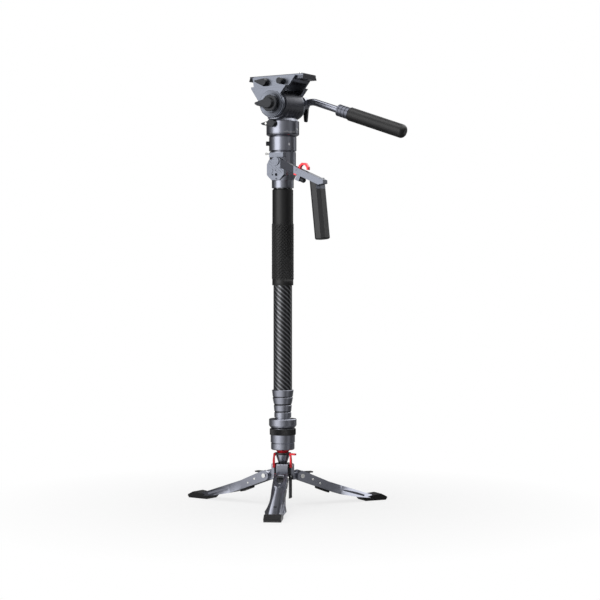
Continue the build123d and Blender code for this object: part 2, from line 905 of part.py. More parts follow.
# Three twist locks, each turning on the lower end of its tube and guiding the tube inside
for k in range(3):
    low, high = lock_bottoms[k], lock_bottoms[k] + lock_heights[k]
    step = tube_bottoms[k] - slip_fit
    with BuildPart() as twist_lock:
        lathe([
            (tube_radii[k + 1] + slip_fit, low),
            (lock_low_radii[k] - lock_edge, low),
            (lock_low_radii[k], low + lock_edge),
            (lock_top_radii[k], high - lock_edge),
            (lock_top_radii[k] - lock_edge, high),
            (tube_radii[k] + run_fit, high),
            (tube_radii[k] + run_fit, step),
            (tube_radii[k + 1] + slip_fit, step),
        ])
    save(twist_lock, f"twist_lock_{k + 1}")

# The rubber grip with its hem and rows of ribs, and the smooth foam above it
with BuildPart() as ribbed_grip:
    pitch = ribs_height / rib_count
    land = rib_land_share * pitch
    outline = [
        (tube_radii[0], hem_bottom),
        (hem_radius, hem_bottom),
        (hem_radius, ribs_bottom),
        (rib_root_radius, ribs_bottom),
    ]
    for k in range(rib_count):
        start = ribs_bottom + k * pitch
        outline += [
            (rib_crest_radius, start + (pitch - land) / 2),
            (rib_crest_radius, start + (pitch + land) / 2),
            (rib_root_radius, start + pitch),
        ]
    lathe(outline + [(tube_radii[0], foam_bottom)])
save(ribbed_grip, "ribbed_grip")

with BuildPart() as foam_grip:
    lathe([
        (tube_radii[0], foam_bottom),
        (foam_radius, foam_bottom),
        (foam_radius, foam_top - foam_edge),
        (foam_radius - foam_edge, foam_top),
        (tube_radii[0], foam_top),
    ])
save(foam_grip, "foam_grip")

# The upper housing: a low band, a flare and a wide barrel, with the spindle the head is locked on
with BuildPart() as upper_housing:
    flare_base = housing_bottom + housing_low_height
    lathe([
        (tube_radii[0], housing_bottom),
        (housing_low_radius, housing_bottom),
        (housing_low_radius, flare_base),
        (housing_radius, flare_base + housing_flare),
        (housing_radius, housing_top - housing_edge),
        (housing_radius - housing_edge, housing_top),
        (spindle_radius, housing_top),
        (spindle_radius, spindle_top),
        (0, spindle_top),
        (0, tube_top),
        (tube_radii[0], tube_top),
    ])
    plunger_height = housing_top - plunger_drop
    plunger_plane = facing(button_azimuth, housing_radius - plunger_sink)
    disc(plunger_plane, (0, plunger_height), plunger_radius + run_fit, plunger_sink + overrun,
         mode=Mode.SUBTRACT)
    bracket_base = flare_base
    accessory_centre = (accessory_hole_along, bracket_base + accessory_hole_rise)
    accessory_plane = head_side.offset(bracket_face - accessory_hole_depth)
    disc(accessory_plane, accessory_centre, accessory_hole_radius, accessory_hole_depth, mode=Mode.SUBTRACT)
save(upper_housing, "upper_housing")

# The side bracket: an octagonal plate scooped to the barrel, and a small clamp block above it
octagon_top = bracket_base + octagon_height
octagon = [
    (-octagon_half + octagon_corner / 2, octagon_top),
    (-octagon_half, octagon_top - octagon_corner),
    (-octagon_half, bracket_base + octagon_corner),
    (-octagon_half + octagon_corner, bracket_base),
    (octagon_half - octagon_corner, bracket_base),
    (octagon_half, bracket_base + octagon_corner),
    (octagon_half, octagon_top - octagon_corner),
    (octagon_half - octagon_corner / 2, octagon_top),
]
with BuildPart() as side_bracket:
    back = head_side.offset(bracket_face - octagon_base)
    prism(back, octagon, octagon_base)
    block_base = octagon_top + cap_gap
    block = box_outline(cap_offset - cap_half, cap_offset + cap_half, block_base, block_base + cap_height)
    prism(back, block, octagon_base)
    disc(Plane.XY, (0, 0), housing_radius, housing_top, mode=Mode.SUBTRACT)
    front = head_side.offset(bracket_face)
    disc(front, (boss_along, bracket_base + octagon_height / 2 - rim_wall), boss_radius, boss_height)
    disc(accessory_plane, accessory_centre, accessory_hole_radius, 2 * accessory_hole_depth,
         mode=Mode.SUBTRACT)
    pin_holes = [
        (accessory_centre[0] - dowel_spacing, accessory_centre[1]),
        (accessory_centre[0], accessory_centre[1] + pin_hole_rise),
        (accessory_centre[0], accessory_centre[1] - pin_hole_rise),
    ]
    for centre in pin_holes:
        disc(front, centre, dowel_radius, -octagon_base, mode=Mode.SUBTRACT)
    for step in (-1, 0, 1):
        with BuildSketch(front) as band:
            with Locations((step * 2 * band_width, bracket_base + band_rise)):
                Rectangle(octagon_height, band_width / 2, rotation=band_angle)
        extrude(band.sketch, amount=-band_depth, mode=Mode.SUBTRACT)
save(side_bracket, "side_bracket")

# The fold-out handle turns on a pin through the bracket: a disc, a slotted arm and a hand grip
pivot = (pivot_along, bracket_base + pivot_rise)
arm_back = bracket_face + side_gap
arm_face = arm_back + arm_depth
arm_plane = head_side.offset(arm_back)
slope = radians(arm_slope)


def down_arm(along, square):
    # A point at a distance along the sloping arm and square to it, from the pivot
    return (
        pivot[0] + along * cos(slope) + square * sin(slope),
        pivot[1] - along * sin(slope) + square * cos(slope),
    )


grip_lean = radians(handle_lean)
handle_top_along = (arm_bar_length - handle_setback) * cos(slope)
grip_top = (handle_top_along, down_arm(handle_top_along / cos(slope), 0)[1] + handle_top_rise)
grip_down = head_side.x_dir * sin(grip_lean) - Vector(0, 0, cos(grip_lean))
grip_across = head_side.x_dir * cos(grip_lean) + Vector(0, 0, sin(grip_lean))
handle_middle = handle_face - handle_depth / 2
grip_origin = head_side.from_local_coords((grip_top[0], grip_top[1], handle_middle))
grip_plane = Plane(origin=grip_origin, x_dir=grip_across, z_dir=grip_down)
trigger_pivot = down_arm(trigger_pivot_along, trigger_pivot_rise)
arm_outline = [
    down_arm(arm_root_length - arm_bar_half, arm_bar_half),
    down_arm(arm_bar_length, arm_bar_half),
    down_arm(arm_bar_length + arm_bar_half / 2, 0),
    down_arm(arm_bar_length - arm_bar_half, -arm_bar_half),
    down_arm(arm_root_length - arm_bar_half, -arm_bar_half),
]

half_across, half_deep, corner = handle_width / 2, handle_depth / 2, handle_corner
outer_facets = [
    (half_across - corner, -half_deep), (half_across, -half_deep + corner),
    (half_across, half_deep - corner), (half_across - corner, half_deep),
]
inner_facets = [(-x, y) for x, y in reversed(outer_facets)]

# The arm ends in a cap that wraps the outer facets of the grip's top
with BuildPart() as handle_arm:
    prism(arm_plane, [
        down_arm(0, arm_root_half),
        down_arm(arm_root_length, arm_bar_half),
        down_arm(arm_root_length, -arm_bar_half),
        down_arm(0, -arm_root_half),
    ], arm_depth)
    disc(arm_plane, pivot, arm_root_half, arm_depth)
    prism(head_side.offset(arm_inner), arm_outline, arm_face - arm_inner)
    prism(grip_plane, outer_facets, handle_cap)
    slot_middle = (arm_inner + arm_face) / 2
    slot = [
        down_arm(arm_slot_start, 2 * arm_root_half),
        down_arm(arm_slot_end, 2 * arm_root_half),
        down_arm(arm_slot_end, -2 * arm_root_half),
        down_arm(arm_slot_start, -2 * arm_root_half),
    ]
    prism(head_side.offset(slot_middle), slot, arm_slot / 2, both=True, mode=Mode.SUBTRACT)
    disc(head_side.offset(arm_inner - overrun), trigger_pivot, trigger_pin_radius,
         arm_face - arm_inner + 2 * overrun, mode=Mode.SUBTRACT)
    disc(arm_plane, pivot, pivot_pin_radius, arm_depth, mode=Mode.SUBTRACT)

with BuildPart() as handle_clamp_block:
    block_end = knob_block_along + knob_block_length
    prism(head_side.offset(slot_middle), [
        down_arm(knob_block_along, -arm_bar_half),
        down_arm(block_end, -arm_bar_half),
        down_arm(block_end, -arm_bar_half - knob_block_height),
        down_arm(knob_block_along, -arm_bar_half - knob_block_height),
    ], knob_block_half, both=True)

with BuildPart() as arm_set:
    add(handle_arm.part)
    add(handle_clamp_block.part)
save(arm_set, "handle_arm")

# The grip: an eight-sided prism along its leaning axis, cut to the arm's underside
with BuildPart() as handle_grip:
    prism(grip_plane, outer_facets + inner_facets, handle_length)
    chamfer(faces().sort_by(Axis.Z)[0].edges(), corner / 3)
    above = [
        down_arm(0, 0),
        down_arm(2 * arm_bar_length, 0),
        down_arm(2 * arm_bar_length, 2 * handle_length),
        down_arm(0, 2 * handle_length),
    ]
    prism(head_side.offset(handle_middle), above, 2 * handle_depth, both=True, mode=Mode.SUBTRACT)
    add(handle_arm.part, mode=Mode.SUBTRACT)
    largest = handle_grip.part.solids().sort_by(SortBy.VOLUME)[-1]
    add(largest, mode=Mode.REPLACE)
save(handle_grip, "handle_grip")

with BuildPart() as pivot_disc:
    disc(head_side.offset(arm_face), pivot, pivot_disc_radius, pivot_disc_depth)
    with BuildSketch(head_side.offset(arm_face)) as seats:
        with Locations(pivot):
            with PolarLocations(pivot_screw_circle, 4, start_angle=45):
                Circle(pivot_screw_radius)
    extrude(seats.sketch, amount=pivot_disc_depth, mode=Mode.SUBTRACT)
save(pivot_disc, "pivot_disc")

# Pins and screws of the handle: the pivot pin, four disc screws and the trigger's pin
with BuildPart() as handle_screws:
    disc(arm_plane, pivot, pivot_pin_radius, arm_depth)
    with BuildSketch(head_side.offset(arm_face)) as screws:
        with Locations(pivot):
            with PolarLocations(pivot_screw_circle, 4, start_angle=45):
                Circle(pivot_screw_radius)
    extrude(screws.sketch, amount=pivot_disc_depth)
    disc(head_side.offset(arm_inner), trigger_pivot, trigger_pin_radius, arm_face - arm_inner)
save(handle_screws, "handle_screws")

with BuildPart() as handle_trigger:
    trigger_plane = head_side.offset(slot_middle)
    prism(trigger_plane, [
        (trigger_pivot[0] + along * trigger_length, trigger_pivot[1] + rise * trigger_height)
        for along, rise in trigger_outline_shares
    ], trigger_half, both=True)
    disc(trigger_plane, trigger_pivot, trigger_eye_radius, trigger_half, both=True)
    disc(trigger_plane, trigger_pivot, trigger_pin_radius + run_fit, 2 * trigger_half, both=True,
         mode=Mode.SUBTRACT)
save(handle_trigger, "handle_trigger")

with BuildPart() as handle_knob:
    knob_spot = down_arm(block_end + side_gap, -arm_bar_half - knob_block_height / 2 - side_gap)
    knob_origin = head_side.from_local_coords((knob_spot[0], knob_spot[1], slot_middle))
    arm_way = head_side.x_dir * cos(slope) - Vector(0, 0, sin(slope))
    knob_plane = spindle(knob_origin, arm_way, side_normal)
    lathe([
        (0, -side_gap),
        (hand_knob_pin, -side_gap),
        (hand_knob_pin, 0),
        (hand_knob_radius, 0),
        (hand_knob_radius, hand_knob_length - hand_knob_pin),
        (hand_knob_radius - hand_knob_pin, hand_knob_length),
        (0, hand_knob_length),
    ], knob_plane)
save(handle_knob, "handle_knob")

# The quick-release sleeve turns on the spindle; its button slides in it
sleeve_inner = spindle_radius + run_fit
button_height = sleeve_bottom + button_rise
button_plane = facing(button_azimuth, button_depth)
with BuildPart() as quick_sleeve:
    lathe([
        (sleeve_inner, sleeve_bottom),
        (sleeve_radius - sleeve_edge, sleeve_bottom),
        (sleeve_radius, sleeve_bottom + sleeve_edge),
        (sleeve_radius, sleeve_bottom + sleeve_height - sleeve_edge),
        (sleeve_radius - sleeve_edge, sleeve_bottom + sleeve_height),
        (sleeve_inner, sleeve_bottom + sleeve_height),
    ])
    well = facing(button_azimuth, 0)
    disc(well, (0, button_height), button_radius + run_fit, 2 * sleeve_radius, mode=Mode.SUBTRACT)
save(quick_sleeve, "quick_sleeve")

with BuildPart() as sleeve_button:
    button_length = button_reach - button_depth
    lathe([
        (0, 0),
        (button_radius, 0),
        (button_radius, button_length - sleeve_edge),
        (button_radius - sleeve_edge, button_length),
        (0, button_length),
    ], spindle(button_plane.from_local_coords((0, button_height, 0)), button_plane.z_dir, button_plane.y_dir))
save(sleeve_button, "sleeve_button")

with BuildPart() as safety_plunger:
    reach = plunger_reach - housing_radius + plunger_sink - side_gap
    lathe([
        (0, 0),
        (plunger_radius, 0),
        (plunger_radius, reach - plunger_head_length),
        (plunger_head_radius, reach - plunger_head_length),
        (plunger_head_radius, reach - side_gap),
        (plunger_radius, reach),
        (0, reach),
    ], spindle(plunger_plane.from_local_coords((0, plunger_height, side_gap)),
               plunger_plane.z_dir, plunger_plane.y_dir))
save(safety_plunger, "safety_plunger")

# The head's pan base with its groove and the post that the head turns on
pan_knob_height = base_bottom + pan_knob_rise
pan_knob_plane = facing(pan_knob_azimuth, 0)
with BuildPart() as pan_base:
    groove_low = base_bottom + base_chamfer + base_edge
    lathe([
        (0, spindle_top),
        (base_foot_radius, spindle_top),
        (base_foot_radius, base_bottom),
        (base_low_radius, base_bottom),
        (base_radius, base_bottom + base_chamfer),
        (base_radius, groove_low),
        (base_radius - base_groove_depth, groove_low),
        (base_radius - base_groove_depth, groove_low + base_groove),
        (base_radius, groove_low + base_groove),
        (base_radius, base_top - base_edge),
        (base_radius - base_edge, base_top),
        (post_radius, base_top),
        (post_radius, base_top + post_height),
        (0, base_top + post_height),
    ])
    disc(pan_knob_plane, (0, pan_knob_height), pan_knob_shaft + run_fit, 2 * base_radius, mode=Mode.SUBTRACT)
    disc(Plane.XY.offset(base_bottom), (0, 0), post_radius, base_height)
save(pan_base, "pan_base")

with BuildPart() as pan_knob:
    knob_spindle = spindle((0, 0, pan_knob_height), outward(pan_knob_azimuth), Vector(0, 0, 1))
    pan_knob_back = base_radius + side_gap
    lathe([
        (0, post_radius + body_gap),
        (pan_knob_shaft, post_radius + body_gap),
        (pan_knob_shaft, pan_knob_back),
        (pan_knob_radius, pan_knob_back),
        (pan_knob_radius, pan_knob_back + pan_knob_depth),
        (0, pan_knob_back + pan_knob_depth),
    ], knob_spindle)
    paddle(facing(pan_knob_azimuth, pan_knob_back + pan_knob_depth), (0, pan_knob_height), pan_knob_radius,
           (pan_lever_tip - pan_lever_length, pan_knob_height), pan_lever_tip, pan_lever_depth)
save(pan_knob, "pan_knob")

# The head body: the drum that the cradle tilts round, its scallops, a neck and a skirt over the base
drum_centre = (0, tilt_height)
with BuildPart() as head_body:
    neck = box_outline(-neck_half_length, neck_half_length, head_bottom + head_skirt_height, tilt_height)
    prism(head_side, neck, neck_half_width - neck_inset, both=True)
    disc(head_side, drum_centre, drum_radius, drum_half, both=True)
    scallop_pitch = 2 * drum_half / (scallop_count + 1)
    dig = drum_radius + scallop_radius - scallop_depth
    scallop_cos, scallop_sin = cos(radians(scallop_angle)), sin(radians(scallop_angle))
    for k in range(scallop_count):
        shift = (k + 1) * scallop_pitch - drum_half
        centre = head_side.from_local_coords((dig * scallop_cos, tilt_height - dig * scallop_sin, shift))
        run = head_side.x_dir * scallop_sin + Vector(0, 0, scallop_cos)
        cutter = Plane(origin=centre, x_dir=side_normal, z_dir=run)
        disc(cutter, (0, 0), scallop_radius, drum_radius / 2, both=True, mode=Mode.SUBTRACT)
    lathe([
        (post_radius + run_fit, head_bottom),
        (head_skirt_radius, head_bottom),
        (neck_half_width, head_bottom + head_skirt_height),
        (post_radius + run_fit, head_bottom + head_skirt_height),
    ])
    disc(head_side, drum_centre, trunnion_radius, cheek_face + body_gap, both=True)
    disc(Plane.XY.offset(head_bottom), (0, 0), post_radius + run_fit, post_height, mode=Mode.SUBTRACT)
save(head_body, "head_body")

# The cradle's two cheeks tilt on the trunnions
cheek_top = flange_bottom
cheek_outline = [
    (cheek_left_share * cheek_rise, cheek_top),
    (cheek_left_foot_share * cheek_rise, tilt_height),
    (cheek_right_foot_share * cheek_rise, tilt_height + cheek_right_foot_rise),
    (cheek_right_share * cheek_rise, cheek_top),
]
with BuildPart() as tilt_cheeks:
    for near in (head_side.offset(cheek_inner), head_side.offset(-cheek_face)):
        prism(near, cheek_outline, cheek_wall)
        disc(near, drum_centre, cheek_radius, cheek_wall)
        disc(near, drum_centre, trunnion_radius + run_fit, cheek_wall, mode=Mode.SUBTRACT)
save(tilt_cheeks, "tilt_cheeks")

with BuildPart() as drag_ring:
    lathe([
        (drag_ring_bore, 0),
        (drag_ring_radius, 0),
        (drag_ring_radius, drag_ring_depth - drag_ring_edge),
        (drag_ring_radius - drag_ring_edge, drag_ring_depth),
        (drag_ring_bore, drag_ring_depth - drag_ring_dish),
    ], spindle(head_side.from_local_coords((0, tilt_height, cheek_face)), side_normal, Vector(0, 0, 1)))
save(drag_ring, "drag_ring")

# The tilt knob with its lever, outside the drag ring on the near side
with BuildPart() as tilt_knob:
    knob_back = cheek_face + body_gap + side_gap
    disc_back = cheek_face + drag_ring_depth + side_gap
    lathe([
        (0, knob_back),
        (trunnion_radius, knob_back),
        (trunnion_radius, disc_back),
        (tilt_knob_radius, disc_back),
        (tilt_knob_radius, disc_back + tilt_knob_depth - drag_ring_edge),
        (tilt_knob_radius - drag_ring_edge, disc_back + tilt_knob_depth),
        (0, disc_back + tilt_knob_depth),
    ], spindle((0, 0, tilt_height), side_normal, Vector(0, 0, 1)))
    paddle(head_side.offset(disc_back + tilt_knob_depth), drum_centre, tilt_lever_root,
           (tilt_lever_tip - tilt_lever_length, tilt_height), tilt_lever_tip, tilt_lever_depth)
save(tilt_knob, "tilt_knob")

# The plate clamp: a channel section with dovetail rails, cut off along the cheeks' slope
clamp_section = [
    (clamp_inner_half, flange_bottom),
    (cheek_face, flange_bottom),
    (cheek_face, flange_bottom + flange_height),
    (clamp_half, flange_bottom + flange_height),
    (clamp_half, clamp_top),
    (plate_top_half + side_gap, clamp_top),
    (plate_foot_half + side_gap, slab_top),
    (-plate_foot_half - side_gap, slab_top),
    (-plate_top_half - side_gap, clamp_top),
    (-clamp_half, clamp_top),
    (-clamp_half, flange_bottom + flange_height),
    (-cheek_face, flange_bottom + flange_height),
    (-cheek_face, flange_bottom),
    (-clamp_inner_half, flange_bottom),
    (-clamp_inner_half, slab_top - clamp_slab),
    (clamp_inner_half, slab_top - clamp_slab),
]
clamp_knob_height = flange_bottom + clamp_knob_rise
with BuildPart() as plate_clamp:
    start = head_front.offset(clamp_left_top)
    prism(start, clamp_section, clamp_right_top - clamp_left_top)
    prism(head_side, [
        (clamp_left_foot, flange_bottom),
        (clamp_right_foot, flange_bottom),
        (clamp_right_top, clamp_top),
        (clamp_left_top, clamp_top),
    ], 2 * cheek_face, both=True, mode=Mode.INTERSECT)
    for along in (clamp_knob_along, wheel_along):
        bore_plane = head_side.offset(clamp_inner_half - overrun)
        disc(bore_plane, (along, clamp_knob_height), knob_shaft_radius + run_fit, 2 * cheek_face,
             mode=Mode.SUBTRACT)
save(plate_clamp, "plate_clamp")

# The clamp's winged knob and the fluted safety wheel beside it, each on its own shaft
shaft_start = clamp_inner_half - overrun + side_gap
knob_face = clamp_half + side_gap
with BuildPart() as clamp_knob:
    lathe([
        (0, shaft_start),
        (knob_shaft_radius, shaft_start),
        (knob_shaft_radius, knob_face),
        (clamp_knob_radius, knob_face),
        (clamp_knob_radius, knob_face + clamp_knob_depth),
        (0, knob_face + clamp_knob_depth),
    ], spindle(head_side.from_local_coords((clamp_knob_along, clamp_knob_height, 0)), side_normal,
               Vector(0, 0, 1)))
    wing_end = (clamp_knob_along + clamp_wing_tip - clamp_wing, clamp_knob_height + clamp_wing_lift)
    paddle(head_side.offset(knob_face + clamp_knob_depth), (clamp_knob_along, clamp_knob_height),
           clamp_knob_radius, wing_end, clamp_wing_tip, clamp_wing_depth)
save(clamp_knob, "clamp_knob")

with BuildPart() as safety_wheel:
    wheel_face = head_side.offset(knob_face)
    wheel_centre = (wheel_along, clamp_knob_height)
    disc(wheel_face, wheel_centre, wheel_radius, wheel_depth)
    with BuildSketch(wheel_face) as flutes:
        with Locations(wheel_centre):
            with PolarLocations(wheel_radius + wheel_flute_radius / 2, wheel_flutes):
                Circle(wheel_flute_radius)
    extrude(flutes.sketch, amount=wheel_depth, mode=Mode.SUBTRACT)
    disc(head_side.offset(shaft_start), wheel_centre, knob_shaft_radius, knob_face - shaft_start)
save(safety_wheel, "safety_wheel")

# The sliding plate: a dovetail slab with end caps, a channel below and a slot for the screw
with BuildPart() as camera_plate:
    rail_top = clamp_top - plate_bottom
    half_section = [
        (-plate_foot_half, plate_bottom),
        (plate_foot_half, plate_bottom),
        (plate_top_half, plate_bottom + rail_top),
        (plate_top_half, plate_top - plate_edge),
        (plate_top_half - plate_edge, plate_top),
        (-plate_top_half + plate_edge, plate_top),
        (-plate_top_half, plate_top - plate_edge),
        (-plate_top_half, plate_bottom + rail_top),
    ]
    prism(head_front.offset(-plate_half_length), half_section, 2 * plate_half_length)
    slot_plane = level(head_azimuth, plate_bottom)
    slot_centre = ((slot_start + slot_end) / 2, 0)
    slot_length = slot_end - slot_start + 2 * slot_half
    with BuildSketch(slot_plane) as slot_face:
        with Locations(slot_centre):
            SlotOverall(slot_length, 2 * slot_half)
    extrude(slot_face.sketch, amount=plate_height, mode=Mode.SUBTRACT)
    with BuildSketch(slot_plane) as channel_face:
        with Locations(slot_centre):
            SlotOverall(slot_length + channel_half, 2 * channel_half)
    extrude(channel_face.sketch, amount=channel_depth, mode=Mode.SUBTRACT)
save(camera_plate, "camera_plate")

channel_roof = plate_bottom + channel_depth
screw_base = channel_roof - side_gap - washer_height
screw_centre = (screw_along, 0)
with BuildPart() as screw_washer:
    washer_plane = level(head_azimuth, screw_base)
    disc(washer_plane, screw_centre, washer_radius, washer_height)
    disc(washer_plane, screw_centre, screw_radius + slip_fit, washer_height, mode=Mode.SUBTRACT)
save(screw_washer, "screw_washer")

with BuildPart() as camera_screw:
    head_plane = level(head_azimuth, screw_base - slip_fit)
    disc(head_plane, screw_centre, screw_head_radius, -screw_head_height)
    disc(head_plane, screw_centre, shank_radius, plate_top - screw_base + slip_fit)
    disc(level(head_azimuth, plate_top), screw_centre, screw_radius, screw_rise)
    chamfer(faces().sort_by(Axis.Z)[-1].edges(), plate_edge)
save(camera_screw, "camera_screw")

# The pan bar's clamp stands off the far cheek; the bar bends once and runs down and outwards
rosette_centre = (rosette_along, tilt_height + rosette_rise)
bar_plane_shift = -(cheek_face + side_gap + rosette_depth / 2)
bar_plane = head_side.offset(bar_plane_shift)
drop = radians(bar_drop)
bar_elbow = (rosette_centre[0] + bar_run, rosette_centre[1] + bar_lift)


def down_bar(along):
    # A point at a distance down the bar from its elbow
    return (bar_elbow[0] + along * cos(drop), bar_elbow[1] - along * sin(drop))


bar_way = head_side.x_dir * cos(drop) - Vector(0, 0, sin(drop))
elbow_point = bar_plane.from_local_coords((bar_elbow[0], bar_elbow[1], 0))
bar_spindle = spindle(elbow_point, bar_way, side_normal)

with BuildPart() as bar_clamp:
    disc(bar_plane.offset(-rosette_depth / 2), rosette_centre, rosette_radius, rosette_depth)
save(bar_clamp, "bar_clamp")

with BuildPart() as pan_bar:
    root = (rosette_centre[0], rosette_centre[1])
    with BuildLine(bar_plane) as route:
        FilletPolyline(root, bar_elbow, down_bar(bar_length), radius=bar_bend)
    with BuildSketch(Plane(origin=route.line @ 0, x_dir=side_normal, z_dir=route.line % 0)) as bar_end:
        Circle(bar_radius)
    sweep(bar_end.sketch, path=route.line)
    disc(bar_plane.offset(-rosette_depth), rosette_centre, rosette_radius, 2 * rosette_depth,
         mode=Mode.SUBTRACT)
save(pan_bar, "pan_bar")

with BuildPart() as bar_collar:
    groove_top = bar_collar_radius - bar_collar_groove
    ridge = bar_collar_length / (2 * bar_collar_rings - 1)
    start = bar_collar_start
    outline = [(bar_radius + slip_fit, start)]
    for k in range(bar_collar_rings):
        low = start + 2 * k * ridge
        outline += [(bar_collar_radius, low), (bar_collar_radius, low + ridge)]
        if k < bar_collar_rings - 1:
            outline += [(groove_top, low + ridge), (groove_top, low + 2 * ridge)]
    outline.append((bar_radius + slip_fit, start + bar_collar_length))
    lathe(outline, bar_spindle)
save(bar_collar, "bar_collar")

with BuildPart() as bar_grip:
    grip_start_along = bar_collar_start + bar_collar_length + side_gap
    grip_end_along = grip_start_along + bar_grip_length
    with BuildSketch(bar_spindle) as section:
        with BuildLine():
            wall = Polyline(
                (0, grip_end_along),
                (0, bar_length + side_gap),
                (bar_radius + slip_fit, bar_length + side_gap),
                (bar_radius + slip_fit, grip_start_along),
                (bar_grip_radius - foam_edge, grip_start_along),
                (bar_grip_radius, grip_start_along + foam_edge),
                (bar_grip_radius, grip_end_along - bar_grip_round),
            )
            arc = TangentArc(wall @ 1, (bar_grip_radius - bar_grip_round, grip_end_along), tangent=(0, 1))
            Line(arc @ 1, wall @ 0)
        make_face()
    revolve(section.sketch, axis=Axis(bar_spindle.origin, bar_spindle.y_dir))
save(bar_grip, "bar_grip")

# The lever that tightens the bar's clamp hangs on the clamp's outer end
with BuildPart() as bar_lever:
    lever_back = bar_plane.offset(-rosette_depth / 2 - side_gap)
    disc(lever_back, rosette_centre, clamp_lever_radius, -clamp_lever_depth)
    lever_end = (rosette_centre[0], rosette_centre[1] + clamp_lever_tip - clamp_lever_length)
    with BuildSketch(lever_back) as blade:
        with Locations(rosette_centre):
            Circle(clamp_lever_radius)
        with Locations(lever_end):
            Circle(clamp_lever_tip)
        make_hull()
    extrude(blade.sketch, amount=-clamp_lever_depth)
save(bar_lever, "bar_lever")
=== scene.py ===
import math

import bmesh
import bpy
from mathutils import Matrix, Vector


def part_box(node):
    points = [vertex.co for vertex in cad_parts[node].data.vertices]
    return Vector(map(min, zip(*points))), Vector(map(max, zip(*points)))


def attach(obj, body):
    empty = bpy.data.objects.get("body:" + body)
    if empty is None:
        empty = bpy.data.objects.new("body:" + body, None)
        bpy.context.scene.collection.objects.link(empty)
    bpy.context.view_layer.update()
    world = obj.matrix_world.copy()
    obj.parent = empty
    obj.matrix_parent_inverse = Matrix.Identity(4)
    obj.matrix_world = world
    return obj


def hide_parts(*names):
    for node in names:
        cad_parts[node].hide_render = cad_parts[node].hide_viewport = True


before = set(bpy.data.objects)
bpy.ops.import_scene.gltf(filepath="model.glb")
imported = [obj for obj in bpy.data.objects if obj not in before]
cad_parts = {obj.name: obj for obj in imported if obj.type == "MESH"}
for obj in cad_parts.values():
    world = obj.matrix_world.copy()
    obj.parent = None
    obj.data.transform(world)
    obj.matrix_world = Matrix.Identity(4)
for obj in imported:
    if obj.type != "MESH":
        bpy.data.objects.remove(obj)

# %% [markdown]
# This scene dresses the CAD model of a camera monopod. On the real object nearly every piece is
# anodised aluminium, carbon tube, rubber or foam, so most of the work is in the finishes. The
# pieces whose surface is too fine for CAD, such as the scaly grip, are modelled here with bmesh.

MM = 0.001
bpy.context.scene.view_settings.view_transform = "Standard"
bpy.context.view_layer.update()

# %% [markdown]
# The head, its bar and the side handle share one set of directions: `along` runs with the camera
# plate and `near` points at the side with the knobs. A place on the head is given by three
# numbers: along the head, up the pole and out towards the knobs, all in millimetres. Turning
# every number by hand would also work, but these directions keep the turn in one value.

# %% Directions of the head
head_turn = math.radians(-32.0)
along = Vector((math.cos(head_turn), math.sin(head_turn), 0))
near = Vector((math.sin(head_turn), -math.cos(head_turn), 0))
up = Vector((0, 0, 1))
ahead = Vector((0, 1, 0))


def spot(u, height, out=0.0):
    # A place on the head
    return (along * u + near * out + up * height) * MM


def around_pole(degrees):
    # The level direction that points away from the pole at an angle
    return Vector((math.cos(math.radians(degrees)), math.sin(math.radians(degrees)), 0))


def axes(x_way, y_way, z_way, origin):
    # The matrix that lays a shape's own x, y and z along three directions at a place
    turned_axes = Matrix((x_way, y_way, z_way)).transposed().to_4x4()
    return Matrix.Translation(origin) @ turned_axes


print("The head is turned by", round(math.degrees(head_turn)), "degrees")

# %% [markdown]
# The camera stands level, 2.8 m in front of the pole, and looks along +Y with a long lens, so the
# pole stays upright. Tilting a nearer camera would make the legs look larger than the head. A
# small shift moves the frame the way the photograph's crop does.

# %% Camera
camera_back, camera_height = 2.8, 0.3995
lens = bpy.data.cameras.new("long_lens")
lens.lens = 96.0
lens.sensor_width = 36.0
lens.shift_x = 0.0287
lens.shift_y = -0.0383
lens.clip_end = 60.0
camera = bpy.data.objects.new("camera", lens)
camera.location = (0, -camera_back, camera_height)
camera.rotation_euler = (math.radians(90), 0, 0)
bpy.context.scene.collection.objects.link(camera)
bpy.context.scene.camera = camera
print("Camera:", camera_back, "m away,", lens.lens, "mm lens")

# %% [markdown]
# Colours are written as the hex values that a colour picker shows. Blender works with linear
# light, so one function turns each pair of digits into a linear number. A second function adds
# any node with its settings and links, and a third starts a material from one Principled shader.

# %% Colours and node building


def colour(hex_code, alpha=1.0):
    shares = [int(hex_code[k:k + 2], 16) / 255 for k in (1, 3, 5)]
    linear = [c / 12.92 if c <= 0.04045 else ((c + 0.055) / 1.055) ** 2.4 for c in shares]
    return (*linear, alpha)


def put(tree, kind, inputs=None, **settings):
    # Adds one node, with its settings and with values or links on its inputs
    node = tree.nodes.new("ShaderNode" + kind)
    for name, value in settings.items():
        setattr(node, name, value)
    for name, value in (inputs or {}).items():
        if isinstance(value, bpy.types.NodeSocket):
            tree.links.new(value, node.inputs[name])
        else:
            node.inputs[name].default_value = value
    return node


def finish(name, base, **inputs):
    # A material with one Principled shader; returns the material, its tree and the shader
    material = bpy.data.materials.new(name)
    material.use_nodes = True
    tree = material.node_tree
    tree.nodes.clear()
    shader = put(tree, "BsdfPrincipled", {"Base Color": colour(base), **inputs})
    put(tree, "OutputMaterial", {"Surface": shader.outputs["BSDF"]})
    return material, tree, shader


def grain(tree, shader, size_mm, strength, height_mm):
    # A fine bump whose cell size is a real one in millimetres
    place = put(tree, "TexCoord").outputs["Object"]
    noise = put(tree, "TexNoise", {"Vector": place, "Scale": 1 / (size_mm * MM), "Detail": 2.0})
    bump = put(tree, "Bump", {"Height": noise.outputs["Fac"], "Strength": strength,
                              "Distance": height_mm * MM})
    tree.links.new(bump.outputs["Normal"], shader.inputs["Normal"])


print("Mid grey #808080 is", round(colour("#808080")[0], 3), "in linear light")

